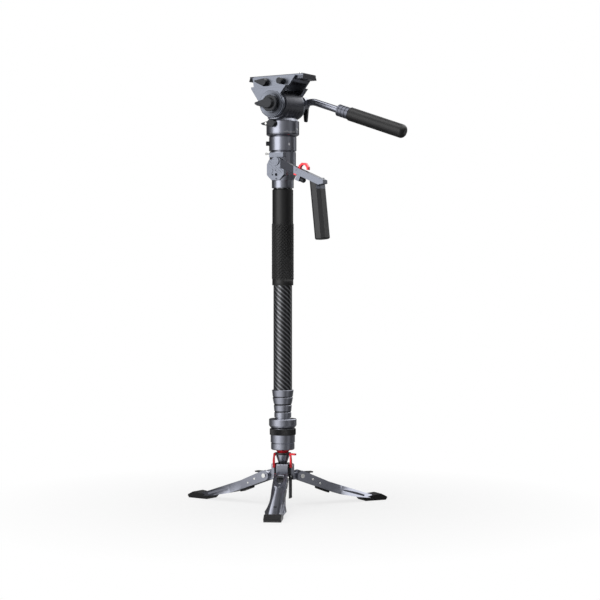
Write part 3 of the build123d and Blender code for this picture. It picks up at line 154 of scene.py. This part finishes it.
# %% [markdown]
# Anodised aluminium is bare metal under a thin clear or dyed oxide. Bead blasting before the bath
# leaves a fine satin, so highlights are wide and soft. The dye sets how dark the reflections are.
# A photographed texture could carry the satin, but a noise bump has no seams and no set size.
# The real grit is about 0.1 mm, and it is drawn at 0.5 mm so that it shows at all.

# %% Anodised aluminium in five dyes
# The dark grey is painted shade, for the plate's ends and the arm's band; the other three are dyes.
SILVER_DYE, PAINTED_SHADE_GREY, RED_DYE, BLACK_DYE = "#60636B", "#2B2C30", "#DE2A35", "#1D1E21"
SILVER_SATIN, RED_SATIN, RED_METAL = 0.36, 0.34, 0.4
drawn_grit, grit_height = 0.5, 0.02


def anodised(dye_name, dye, satin, grit_strength, metal=1.0):
    material, tree, shader = finish(dye_name + "_anodised_aluminium", dye,
                                    Metallic=metal, Roughness=satin)
    grain(tree, shader, drawn_grit, grit_strength, grit_height)
    return material


gunmetal = anodised("gunmetal", "#7A7C85", 0.30, 0.05)
silver_grey = anodised("silver_grey", SILVER_DYE, SILVER_SATIN, 0.10)
smoke_grey = anodised("smoke_grey", "#5C5E66", 0.44, 0.12)
black_anodised = anodised("black", "#242528", 0.42, 0.12, metal=0.7)
red_anodised = anodised("red", RED_DYE, RED_SATIN, 0.08, metal=RED_METAL)
print("Dyes:", [material.name for material in (gunmetal, silver_grey, smoke_grey, black_anodised,
                                               red_anodised)])

# %% [markdown]
# Four pieces carry a second colour, laid on by a mask. The camera plate's dark ends are painted
# shade, where its end faces turn away from the light, and the arm's dark band near its pivot is
# painted shade over its thin web. The claw has a black ring between red arms and the head body a
# light skirt, two dyes masked before the bath. Each could be cut in two, but a mask made from the
# place on the piece leaves the CAD mesh alone. It is measured along one direction in millimetres,
# so the line lands where the photograph has it.

# %% Pieces with a second colour: painted shade on the plate and arm, two dyes on the claw and body
plate_light_run = (-47.0, 54.6)
arm_band_run = (14.0, 41.0)
claw_ring_radius = 15.0
skirt_heights = (671.0, 676.0)


def reading(tree, way):
    # The distance along a direction, in millimetres, at each point of the surface
    place = put(tree, "TexCoord").outputs["Object"]
    run = put(tree, "VectorMath", {0: place, 1: tuple(way / MM)}, operation="DOT_PRODUCT")
    return run.outputs["Value"]


def between(tree, value, low, high):
    # 1 where the value lies between two limits, and 0 elsewhere
    middle, half = (low + high) / 2, (high - low) / 2
    return put(tree, "Math", {0: value, 1: middle, 2: half}, operation="COMPARE").outputs[0]


def second_colour(tree, shader, mask, hex_code):
    # Changes the base colour where the mask is 1
    first = tuple(shader.inputs["Base Color"].default_value)
    both = put(tree, "Mix", {0: mask, 6: first, 7: colour(hex_code)}, data_type="RGBA")
    tree.links.new(both.outputs[2], shader.inputs["Base Color"])


# Painted shade: both ends of the plate are darkened where its end faces turn away from the light.
plate_with_painted_shade_ends, tree, shader = finish("silver_aluminium_with_painted_shade_ends", SILVER_DYE,
                                  Metallic=1.0, Roughness=SILVER_SATIN)
inner_share = between(tree, reading(tree, along), *plate_light_run)
ends = put(tree, "Math", {0: 1.0, 1: inner_share}, operation="SUBTRACT").outputs[0]
second_colour(tree, shader, ends, PAINTED_SHADE_GREY)

# Painted shade: the arm is darkened over its thin web near the pivot, where shade falls.
arm_with_painted_shade_band, tree, shader = finish("silver_aluminium_with_painted_shade_band", SILVER_DYE,
                                Metallic=1.0, Roughness=SILVER_SATIN)
second_colour(tree, shader, between(tree, reading(tree, along), *arm_band_run), PAINTED_SHADE_GREY)

claw_dyes, tree, shader = finish("red_aluminium_with_black_ring", RED_DYE,
                                 Metallic=RED_METAL, Roughness=RED_SATIN)
place = put(tree, "SeparateXYZ", {"Vector": put(tree, "TexCoord").outputs["Object"]})
level = put(tree, "CombineXYZ", {"X": place.outputs["X"], "Y": place.outputs["Y"]})
radius = put(tree, "VectorMath", {0: level.outputs[0]}, operation="LENGTH").outputs["Value"]
second_colour(tree, shader, between(tree, radius, 0.0, claw_ring_radius * MM), BLACK_DYE)

body_dyes, tree, shader = finish("smoke_aluminium_with_light_skirt", "#3E3F45",
                                 Metallic=0.9, Roughness=0.45)
second_colour(tree, shader, between(tree, reading(tree, up), *skirt_heights), "#8A8D96")
print("The plate is light from", *plate_light_run, "mm along the head")

# %% [markdown]
# Bolts and pins are turned from stainless steel, brighter and smoother than the anodised parts.
# The cutting marks of a lathe are too fine for this distance, so a plain roughness stands for them.

# %% Stainless steel
stainless = finish("turned_stainless_steel", "#C4C4C2", Metallic=1.0, Roughness=0.26)[0]
print("Steel:", stainless.name)

# %% [markdown]
# Moulded rubber is matt with a fine leathery grain, and its reflections are weak. Closed-cell foam
# is as dark, and its cells, about 0.6 mm across, scatter light. The side grip is a harder, smoother
# rubber. Nylon is harder again and a little glossy. All four are one recipe, a dark plastic with a
# noise bump, so one function makes them. The inks and the acetal are smooth and need no grain.

# %% Rubber, foam, nylon, acetal and ink


def moulded(name, base, roughness, specular, cell_mm, strength, height_mm):
    material, tree, shader = finish(name, base, Roughness=roughness)
    shader.inputs["Specular IOR Level"].default_value = specular
    grain(tree, shader, cell_mm, strength, height_mm)
    return material


rubber = moulded("moulded_rubber", "#09090A", 0.42, 0.30, 0.8, 0.10, 0.04)
grip_rubber = moulded("smooth_moulded_rubber", "#141416", 0.46, 0.40, 0.6, 0.12, 0.03)
foam = moulded("closed_cell_foam", "#09090A", 0.44, 0.30, 0.6, 0.10, 0.03)
nylon = moulded("black_glass_filled_nylon", "#1A1B1E", 0.48, 0.50, 0.7, 0.12, 0.03)

acetal = finish("white_acetal", "#E4E1D8", Roughness=0.40)[0]
white_mark = finish("printed_white_ink", "#E8E9EC", Roughness=0.55)[0]
red_mark = finish("printed_red_ink", "#D8232E", Roughness=0.55)[0]
print("Moulded:", [material.name for material in (rubber, grip_rubber, foam, nylon)])

# %% [markdown]
# The outer tube is a twill laminate under satin lacquer. Each tow is a flat ribbon of fibres and
# shines on its own, so the weave shows as slanting bright and dark bands. An image could be
# wrapped round the tube, but a sine of the height and of the angle round it has the true pitch and
# needs no picture. The angle is turned into millimetres. The bands repeat every 7.9 mm up the tube
# and lie at 40 degrees to its rim, both measured in the photograph. They don't come out whole round
# the tube, so one faint seam runs up its left side, as where the edge of a real wrap shows.

# %% Carbon-fibre twill
tube_radius = 16.35 * MM
twill_pitch = 7.9 * MM
twill_rise = math.tan(math.radians(40.0))
tow_scale = 320.0
carbon, tree, shader = finish("carbon_twill_laminate", "#2E3034", Metallic=0.75, Roughness=0.32)
shader.inputs["Coat Weight"].default_value = 0.35
shader.inputs["Coat Roughness"].default_value = 0.22
surface = put(tree, "TexCoord").outputs["Object"]
place = put(tree, "SeparateXYZ", {"Vector": surface})
angle = put(tree, "Math", {0: place.outputs["Y"], 1: place.outputs["X"]}, operation="ARCTAN2")
arc = put(tree, "Math", {0: angle.outputs[0], 1: tube_radius * twill_rise}, operation="MULTIPLY")
slant = put(tree, "Math", {0: place.outputs["Z"], 1: arc.outputs[0]}, operation="ADD")
turns = put(tree, "Math", {0: slant.outputs[0], 1: 2 * math.pi / twill_pitch}, operation="MULTIPLY")
band = put(tree, "Math", {0: turns.outputs[0]}, operation="SINE")
tows = put(tree, "TexNoise", {"Vector": surface, "Scale": tow_scale, "Detail": 2.0})
mixed = put(tree, "Math", {0: tows.outputs["Fac"], 1: 0.5, 2: band.outputs[0]},
            operation="MULTIPLY_ADD")
ramp = put(tree, "ValToRGB", {"Fac": mixed.outputs[0]})
for stop, position, shade in zip(ramp.color_ramp.elements, (0.35, 0.95), ("#101113", "#5E5F63")):
    stop.position = position
    stop.color = colour(shade)
tree.links.new(ramp.outputs["Color"], shader.inputs["Base Color"])
print("Twill bands round the tube:", round(2 * math.pi * tube_radius * twill_rise / twill_pitch, 1))

# %% [markdown]
# Every CAD piece gets the finish of the real one. They could be set one by one, but a table from
# finish to pieces shows at a glance what shares a bath or a mould.

# %% Finishes of the CAD pieces
finishes = {
    gunmetal: ["leg_front", "leg_right", "leg_left", "upper_housing", "quick_sleeve", "pan_base",
               "socket_housing", "pan_collar", "twist_lock_1", "twist_lock_2", "twist_lock_3",
               "leg_brackets", "pan_bar", "bar_clamp", "ball_stem"],
    smoke_grey: ["bar_collar", "handle_screws"],
    silver_grey: ["side_bracket", "pivot_disc", "drag_ring", "plate_clamp", "tilt_cheeks"],
    plate_with_painted_shade_ends: ["camera_plate"],
    arm_with_painted_shade_band: ["handle_arm"],
    claw_dyes: ["lock_claw"],
    body_dyes: ["head_body"],
    black_anodised: ["hub_core", "tilt_knob", "clamp_knob", "safety_wheel", "handle_knob",
                     "bar_lever", "pan_knob", "sleeve_button"],
    red_anodised: ["lock_cone", "handle_trigger"],
    stainless: ["leg_bolts", "safety_plunger", "screw_washer", "camera_screw"],
    rubber: ["foot_front", "foot_right", "foot_left", "socket_grip_ring", "ribbed_grip"],
    grip_rubber: ["handle_grip"],
    foam: ["foam_grip", "bar_grip"],
    nylon: ["latch_front", "latch_right", "latch_left", "release_pedal"],
    acetal: ["ball_liner", "guide_bush_2", "guide_bush_3", "guide_bush_4"],
    carbon: ["tube_1", "tube_2", "tube_3", "tube_4"],
}
for material, nodes in finishes.items():
    for name in nodes:
        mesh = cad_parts[name].data
        mesh.materials.clear()
        mesh.materials.append(material)
dressed = {name for nodes in finishes.values() for name in nodes}
print("CAD pieces without a finish:", sorted(set(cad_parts) - dressed))

# %% [markdown]
# A machined edge is never perfectly sharp, and its thin highlight is what makes it read as metal.
# A Bevel modifier breaks the edges and leaves the CAD mesh as it is. That mesh is loose triangles,
# so a Weld modifier joins them first.

# %% Broken edges on the milled and moulded pieces
milled = ["leg_front", "leg_right", "leg_left", "leg_brackets", "side_bracket", "handle_arm",
          "handle_grip", "tilt_cheeks", "plate_clamp", "camera_plate", "tilt_knob", "clamp_knob",
          "pan_knob", "bar_lever", "foot_front", "foot_right", "foot_left", "handle_trigger",
          "latch_front", "latch_right", "latch_left", "release_pedal", "lock_claw", "hub_core"]
weld_reach, edge_width, edge_angle = 0.001, 0.35, 32
for name in milled:
    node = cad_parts[name]
    weld = node.modifiers.new("weld", "WELD")
    weld.merge_threshold = weld_reach * MM
    edge = node.modifiers.new("broken_edge", "BEVEL")
    edge.width = edge_width * MM
    edge.segments = 2
    edge.limit_method = "ANGLE"
    edge.angle_limit = math.radians(edge_angle)
print("Pieces with broken edges:", len(milled))

# %% [markdown]
# New pieces are made with bmesh, Blender's own modelling operators. A few helpers repeat. One turns
# an outline round an axis as a lathe does. One turns a finished bmesh into an object that rides
# with a CAD body. One finds where a straight line meets the surface of a CAD piece, so that small
# screws and marks sit exactly on it and no height has to be guessed.

# %% Helpers for new pieces


def turned(outline, steps=64):
    # Spins (radius, height) points in millimetres about the shape's own z axis
    shape = bmesh.new()
    points = [shape.verts.new((radius * MM, 0, height * MM)) for radius, height in outline]
    edges = [shape.edges.new(pair) for pair in zip(points, points[1:])]
    bmesh.ops.spin(shape, geom=points + edges, cent=(0, 0, 0), axis=(0, 0, 1), angle=2 * math.pi,
                   steps=steps, use_merge=True)
    bmesh.ops.remove_doubles(shape, verts=shape.verts, dist=1e-7)
    return shape


def hoop(inner, outer, low, high, steps):
    # A ring with a square section
    return turned([(inner, low), (outer, low), (outer, high), (inner, high), (inner, low)], steps)


def joined(shapes):
    # Gathers several finished bmeshes in one
    whole = bmesh.new()
    for shape in shapes:
        kept = bpy.data.meshes.new("kept")
        shape.to_mesh(kept)
        shape.free()
        whole.from_mesh(kept)
        bpy.data.meshes.remove(kept)
    return whole


def piece(name, shape, material, body, crease=35.0):
    # Turns a bmesh into a smooth-shaded object that moves with a CAD body
    bmesh.ops.recalc_face_normals(shape, faces=shape.faces)
    mesh = bpy.data.meshes.new(name)
    shape.to_mesh(mesh)
    shape.free()
    mesh.materials.append(material)
    mesh.shade_smooth()
    mesh.set_sharp_from_angle(angle=math.radians(crease))
    thing = bpy.data.objects.new(name, mesh)
    bpy.context.scene.collection.objects.link(thing)
    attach(thing, body)
    return thing


def landing(node, start, way):
    # Where a line meets a CAD piece, and which way that surface faces
    hit, place, facing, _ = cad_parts[node].ray_cast(start, way.normalized())
    if not hit:
        raise ValueError(f"nothing of {node} on that line")
    return place, facing


def seen_from_front(node, x, z):
    # Where the camera's level line at this x and z, in millimetres, meets a CAD piece
    in_front = -60
    return landing(node, Vector((x, in_front, z)) * MM, ahead)


def standing(place, facing):
    # Lays a shape's z axis along a surface's own direction
    side = facing.orthogonal().normalized()
    return axes(side, facing.cross(side), facing, place)


def rivet(radius, height):
    # A low round head with a broken rim, standing on z = 0
    rim = height / 3
    outline = [(0, 0), (radius, 0), (radius, height - rim), (radius - rim, height), (0, height)]
    return turned(outline, 32)


def laid(shape, place, facing):
    # Moves a finished bmesh onto a spot of a surface
    bmesh.ops.transform(shape, matrix=standing(place, facing), verts=shape.verts)
    return shape


print("Helpers: turned, hoop, joined, piece, landing, seen_from_front, standing, rivet, laid")

# %% [markdown]
# The lower grip is a rubber sleeve moulded in small raised scales, in rows that are shifted by half
# a scale so that they lock together like roof tiles. It could be a displacement texture, but real
# geometry keeps a crisp silhouette. One four-sided cone, cut off below its tip, makes a scale, and
# its outer end is pushed up a little. A matrix scales, turns and places each copy.

# %% Scaly grip on the pole
grip_low, grip_high = (corner.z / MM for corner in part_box("ribbed_grip"))
grip_bore, grip_skin = 16.4, 18.35
hem_foot, hem_radius, hem_height, hem_edge = 18.3, 18.5, 9.0, 0.3
hem_top = grip_low + hem_height
scales = turned([(grip_bore, grip_low), (hem_foot, grip_low), (hem_radius, grip_low + hem_edge),
                 (hem_radius, hem_top - hem_edge), (grip_skin, hem_top), (grip_skin, grip_high),
                 (grip_bore, grip_high), (grip_bore, grip_low)], 96)
scale_rows, scale_columns = 16, 21
scale_seat, scale_half_width, scale_half_height = 18.7, 2.5, 2.85
scale_rise, scale_lean, scale_tip = 1.1, 0.8, 0.45
row_pitch = (grip_high - hem_top) / scale_rows
for row in range(2 * scale_rows - 1):
    height = hem_top + (row + 1) * row_pitch / 2
    for column in range(scale_columns):
        turn = 2 * math.pi * (column + row % 2 / 2) / scale_columns
        outward = Vector((math.cos(turn), math.sin(turn), 0))
        around = Vector((-math.sin(turn), math.cos(turn), 0))
        place = (outward * scale_seat + up * height) * MM
        size = axes(around * scale_half_width * MM, up * scale_half_height * MM,
                    (outward * scale_rise + up * scale_lean) * MM, place)
        bmesh.ops.create_cone(scales, cap_ends=True, cap_tris=False, segments=4, radius1=1.0,
                              radius2=scale_tip, depth=1.0, matrix=size)
print("Scales on the grip:", (2 * scale_rows - 1) * scale_columns)
scaly_grip = piece("scaly_grip", scales, rubber, "section_1")
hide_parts("ribbed_grip")

# %% [markdown]
# The rubber ring round the ball socket has fine upright flutes for the fingers. Cutting each flute
# with a boolean would be slow. A ring spun in many steps already has the edges that the flutes
# need, so pulling in every second one is enough.

# %% Fluted ring on the socket
ring_low, ring_high = (corner.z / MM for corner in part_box("socket_grip_ring"))
ring_bore, flute_root, flute_crest, ring_edge = 19.7, 22.4, 22.9, 0.6
flute_steps = 180
flutes = turned([(ring_bore, ring_low), (flute_root, ring_low), (flute_crest, ring_low + ring_edge),
                 (flute_crest, ring_high - ring_edge), (flute_root, ring_high),
                 (ring_bore, ring_high), (ring_bore, ring_low)], flute_steps)
halfway = (flute_root + flute_crest) / 2 * MM
pulled = [v for v in flutes.verts
          if v.co.xy.length > halfway
          and round(math.atan2(v.co.y, v.co.x) / (2 * math.pi / flute_steps)) % 2 == 1]
pull = flute_root / flute_crest
bmesh.ops.scale(flutes, vec=(pull, pull, 1.0), verts=pulled)
print("Flutes round the socket:", len(pulled) // 2)
fluted_ring = piece("fluted_ring", flutes, rubber, "socket", crease=12.0)
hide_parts("socket_grip_ring")

# %% [markdown]
# Each leg is held together by rivets through its cheeks and small screws on its back. They are too
# small for the CAD model. Each one is found by a straight line that meets the leg's surface, so it
# sits on the metal wherever the surface lies. The line for a cheek is aimed a little low, and the
# head is moved up again along the flat cheek.

# %% Rivets and screws of the legs
leg_turns = {"front": -95.0, "right": 25.0, "left": 145.0}
leg_slope = math.radians(16.3)
hinge_out, hinge_height = 32.5, 51.0
cheek_rivets = ((21.6, 1.0, 2.0), (37.3, 4.7, 1.7))
back_screws, foot_screw = (32.0, 41.0), 117
aim_low, start_away = 2.5, 40
for name, degrees in leg_turns.items():
    out = around_pole(degrees)
    down = out * math.cos(leg_slope) - up * math.sin(leg_slope)
    square = up * math.cos(leg_slope) + out * math.sin(leg_slope)
    side = out.cross(up)
    hinge = (out * hinge_out + up * hinge_height) * MM
    heads = []
    for reach, drop, radius in cheek_rivets:
        for way in (side, -side):
            start = hinge + (down * reach - square * (drop + aim_low) + way * start_away) * MM
            place, facing = landing("leg_" + name, start, -way)
            heads.append(laid(rivet(radius, 0.5), place + square * aim_low * MM, facing))
    for reach in back_screws:
        start = hinge + (down * reach + square * start_away) * MM
        heads.append(laid(rivet(1.7, 0.4), *landing("leg_" + name, start, -square)))
    piece("leg_rivets_" + name, joined(heads), stainless, "leg_" + name)
    start = hinge + (down * foot_screw + square * start_away) * MM
    screw = laid(rivet(2.8, 0.6), *landing("leg_" + name, start, -square))
    piece("leg_screw_" + name, screw, black_anodised, "leg_" + name)
    print("Heads on the", name, "leg:", len(heads) + 1)

# %% [markdown]
# The bracket of each leg is pinned from both sides. The same rivet head is reused, because a pin's
# end that has been pressed in looks the same from here.

# %% Pins in the sides of the leg brackets
pin_out, pin_height, pin_start = 14.0, 69.7, 30
pins = []
for degrees in leg_turns.values():
    out = around_pole(degrees)
    side = out.cross(up)
    for way in (side, -side):
        start = (out * pin_out + up * pin_height + way * pin_start) * MM
        pins.append(laid(rivet(1.5, 0.4), *landing("leg_brackets", start, -way)))
print("Bracket pins:", len(pins))
piece("bracket_pins", joined(pins), stainless, "base")

# %% [markdown]
# The pan base carries a printed scale with a line for every 5 degrees and a longer one for every
# 15, and a small red pointer below it. The sleeve has one white mark, which shows which way it
# is turned. Lines could be painted by a material, but a very thin raised bar, as screen-printed ink
# is, keeps its edge at any distance.

# %% Scale of the pan base
tick_radius, tick_foot = 28.72, 650.4
long_tick, short_tick, tick_width, ink_depth = 2.8, 1.7, 0.4, 0.1
tick_angles = range(-85, -14, 5)
ink = bmesh.new()
for degrees in tick_angles:
    outward = around_pole(degrees)
    around = outward.cross(up)
    tall = long_tick if degrees % 15 == 0 else short_tick
    place = (outward * tick_radius + up * (tick_foot + tall / 2)) * MM
    size = axes(around * tick_width * MM, up * tall * MM, outward * ink_depth * MM, place)
    bmesh.ops.create_cube(ink, size=1.0, matrix=size)
piece("pan_scale", ink, white_mark, "section_1")
print("Lines on the scale:", len(tick_angles))

# %% Pointer, set screw and mark of the pan base and sleeve
print_depth = 0.12
pointer = bmesh.new()
bmesh.ops.create_cone(pointer, cap_ends=True, cap_tris=False, segments=3, radius1=1.1 * MM,
                      radius2=1.1 * MM, depth=print_depth * MM,
                      matrix=standing(*seen_from_front("pan_base", 10.4, 646.8)))
piece("pan_pointer", pointer, red_mark, "section_1")

set_screw = laid(rivet(1.7, 0.3), *seen_from_front("pan_base", 24.8, 656.1))
piece("pan_set_screw", set_screw, stainless, "section_1")

place, facing = seen_from_front("quick_sleeve", 11.0, 630.4)
side = up.cross(facing)
mark = bmesh.new()
bmesh.ops.create_cone(mark, cap_ends=True, cap_tris=False, segments=24, radius1=1.0, radius2=1.0,
                      depth=1.0, matrix=axes(side * 1.2 * MM, up * 2.4 * MM,
                                             facing * print_depth * MM, place))
piece("sleeve_mark", mark, white_mark, "sleeve")
print("The sleeve's mark is at", [round(c / MM, 1) for c in place])

# %% [markdown]
# A black rubber wiper under each twist lock keeps grit out of the joint. It shows as the dark line
# between one lock and the next. A dark line could be painted on the lock, but it would have no
# depth, so each wiper is a plain hoop that fills most of the gap.

# %% Wipers under the twist locks
# Each has its body, inner and outer radius, lower and upper face
wipers = [("section_1", 14.3, 16.6, 189.3, 190.5), ("section_2", 12.5, 14.9, 175.6, 177.5),
          ("section_3", 10.85, 14.1, 163.2, 164.9)]
for number, (body, *sizes) in enumerate(wipers, start=1):
    piece(f"lock_wiper_{number}", hoop(*sizes, 72), rubber, body)
print("Wipers:", len(wipers))

# %% [markdown]
# A black rubber ring fills the pan base's groove, as painted shade that darkens it. The pan knob's
# lever has a bright domed cap, turned from a short outline, and a small steel pin shows at the top
# of the plate clamp, over the safety wheel.

# %% Painted shade in the pan base's groove, cap of the pan knob and pin of the plate clamp
# Painted shade: a thin black ring sits in the shallow groove so that it reads dark.
groove_shade_inner, groove_shade_outer, groove_shade_low, groove_shade_high = 27.9, 28.6, 648.35, 649.3
groove_shade = hoop(groove_shade_inner, groove_shade_outer, groove_shade_low, groove_shade_high, 96)
piece("pan_base_groove_shade", groove_shade, rubber, "section_1")

knob_side = 60.0
cap = turned([(0, 0), (2.5, 0), (2.4, 0.5), (1.7, 0.95), (0.8, 1.15), (0, 1.2)], 40)
cap = laid(cap, *landing("pan_knob", spot(-12.0, 666.1, knob_side), -near))
piece("pan_knob_cap", cap, stainless, "pan_lock")

clamp_pin = laid(rivet(1.0, 0.4), *landing("plate_clamp", spot(12.0, 744.0, knob_side), -near))
piece("clamp_pin", clamp_pin, stainless, "cradle")
print("Height of the seal in mm:", round(groove_shade_high - groove_shade_low, 2))

# %% [markdown]
# A photographer lights turned metal with one big soft box on the left and dark cards on the right.
# The box draws the broad bright band down every turned piece, and the cards give it a dark side.
# Here the boxes are area lights. The cards could be real planes, but they would throw shadows, so
# they are grey directions of the world that only reflections see, with one bright card high on
# the right that lights the upper faces of the flared legs. Camera rays see white paper.

# %% Lights


def soft_light(name, place, size, power):
    # A rectangular light that faces the middle of the monopod
    data = bpy.data.lights.new(name, "AREA")
    data.shape = "RECTANGLE"
    data.size, data.size_y = size
    data.energy = power
    lamp = bpy.data.objects.new(name, data)
    lamp.location = place
    middle = Vector((0, 0, 0.40))
    lamp.rotation_euler = (middle - lamp.location).to_track_quat("-Z", "Y").to_euler()
    bpy.context.scene.collection.objects.link(lamp)


boxes = [("left_box", Vector((-1.75, -1.6, 0.95)), (2.1, 1.9), 38.0),
         ("right_back_box", Vector((1.9, 1.1, 0.70)), (0.9, 1.6), 3.5),
         ("top_box", Vector((-0.3, -0.4, 2.6)), (1.8, 1.4), 26.0)]
for box in boxes:
    soft_light(*box)
print("Soft boxes:", len(boxes))

# %% Grey cards all round, and the world
card_shares = [(0.0, 0.12), (0.18, 0.14), (0.27, 0.60), (0.33, 1.0), (0.43, 1.0), (0.50, 0.60),
               (0.56, 0.18), (0.61, 0.16), (0.655, 0.44), (0.70, 0.14), (0.83, 0.09), (0.92, 0.16),
               (1.0, 0.12)]
fill_strength, high_card_extra = 0.10, 2.4


def grey_cards(tree, way):
    # The grey of the card that stands in a direction, counted from behind over the left
    forward = put(tree, "Math", {0: way.outputs["Y"], 1: -1.0}, operation="MULTIPLY")
    swing = put(tree, "Math", {0: way.outputs["X"], 1: forward.outputs[0]}, operation="ARCTAN2")
    share = put(tree, "MapRange", {"Value": swing.outputs[0], "From Min": -math.pi,
                                   "From Max": math.pi})
    cards = put(tree, "ValToRGB", {"Fac": share.outputs["Result"]})
    stops = cards.color_ramp.elements
    stops.remove(stops[1])
    for index, (position, grey) in enumerate(card_shares):
        stop = stops[0] if index == 0 else stops.new(position)
        stop.position = position
        stop.color = (grey, grey, grey, 1.0)
    return cards


world = bpy.data.worlds.new("studio")
world.use_nodes = True
bpy.context.scene.world = world
tree = world.node_tree
tree.nodes.clear()
rays = put(tree, "LightPath")
way = put(tree, "SeparateXYZ", {"Vector": put(tree, "TexCoord").outputs["Generated"]})
cards = grey_cards(tree, way)
height = put(tree, "MapRange", {"Value": way.outputs["Z"], "From Min": 0.26, "From Max": 0.40})
right_hand = put(tree, "MapRange", {"Value": way.outputs["X"], "From Min": 0.08, "From Max": 0.24})
high_card = put(tree, "Math", {0: height.outputs["Result"], 1: right_hand.outputs["Result"]},
                operation="MULTIPLY")
bright = put(tree, "Math", {0: high_card.outputs[0], 1: high_card_extra, 2: 1.0},
             operation="MULTIPLY_ADD")
lit = put(tree, "Mix", {0: high_card.outputs[0], 6: cards.outputs["Color"], 7: colour("#FFFFFF")},
          data_type="RGBA")
fill = put(tree, "Background", {"Color": colour("#FFFFFF"), "Strength": fill_strength})
mirrored = put(tree, "Background", {"Color": lit.outputs[2], "Strength": bright.outputs[0]})
paper = put(tree, "Background", {"Color": colour("#FFFFFF"), "Strength": 1.0})
unseen = put(tree, "MixShader", {0: rays.outputs["Is Glossy Ray"], 1: fill.outputs[0],
                                 2: mirrored.outputs[0]})
seen = put(tree, "Math", {0: rays.outputs["Is Camera Ray"], 1: rays.outputs["Is Transmission Ray"]},
           operation="MAXIMUM")
both = put(tree, "MixShader", {0: seen.outputs[0], 1: unseen.outputs[0], 2: paper.outputs[0]})
put(tree, "OutputWorld", {"Surface": both.outputs[0]})
print("Grey cards:", len(card_shares))

# %% [markdown]
# The floor is a wide sheet of pale paper. Its own shading keeps the soft shadow, and towards the
# rim it fades to the white of the background, so no horizon line crosses the picture. Reflections
# see it lit as the cards above it are: bright on the left, under the big box, and dark elsewhere.

# %% Floor
floor_radius, floor_drop = 9.0, 0.0005
fade_start, fade_end, fade_least, floor_glow = 0.10, 0.6, 0.75, 1.8
sheet = bmesh.new()
bmesh.ops.create_circle(sheet, cap_ends=True, segments=96, radius=floor_radius)
bmesh.ops.translate(sheet, vec=(0, 0, -floor_drop), verts=sheet.verts)
floor_mesh = bpy.data.meshes.new("floor")
sheet.to_mesh(floor_mesh)
sheet.free()
floor = bpy.data.objects.new("floor", floor_mesh)
bpy.context.scene.collection.objects.link(floor)

paper_floor, tree, shader = finish("pale_paper", "#F4F4F4", Roughness=0.9)
place = put(tree, "TexCoord").outputs["Object"]
reach = put(tree, "VectorMath", {0: place}, operation="LENGTH")
fade = put(tree, "MapRange", {"Value": reach.outputs["Value"], "From Min": fade_start,
                              "From Max": fade_end, "To Min": fade_least, "To Max": 1.0})
rays = put(tree, "LightPath")
share = put(tree, "Math", {0: rays.outputs["Is Camera Ray"], 1: fade.outputs[0]},
            operation="MULTIPLY")
share = put(tree, "Math", {0: share.outputs[0], 1: rays.outputs["Is Glossy Ray"]},
            operation="MAXIMUM")
cards = grey_cards(tree, put(tree, "SeparateXYZ", {"Vector": place}))
paint = put(tree, "Mix", {0: rays.outputs["Is Glossy Ray"], 6: colour("#FFFFFF"),
                          7: cards.outputs["Color"]}, data_type="RGBA")
power = put(tree, "MapRange", {"Value": rays.outputs["Is Glossy Ray"], "To Min": 1.0,
                               "To Max": floor_glow})
glow = put(tree, "Emission", {"Color": paint.outputs[2], "Strength": power.outputs["Result"]})
mix = put(tree, "MixShader", {0: share.outputs[0], 1: shader.outputs[0], 2: glow.outputs[0]})
put(tree, "OutputMaterial", {"Surface": mix.outputs[0]}, is_active_output=True)
floor_mesh.materials.append(paper_floor)
print("Floor:", 2 * floor_radius, "m across")
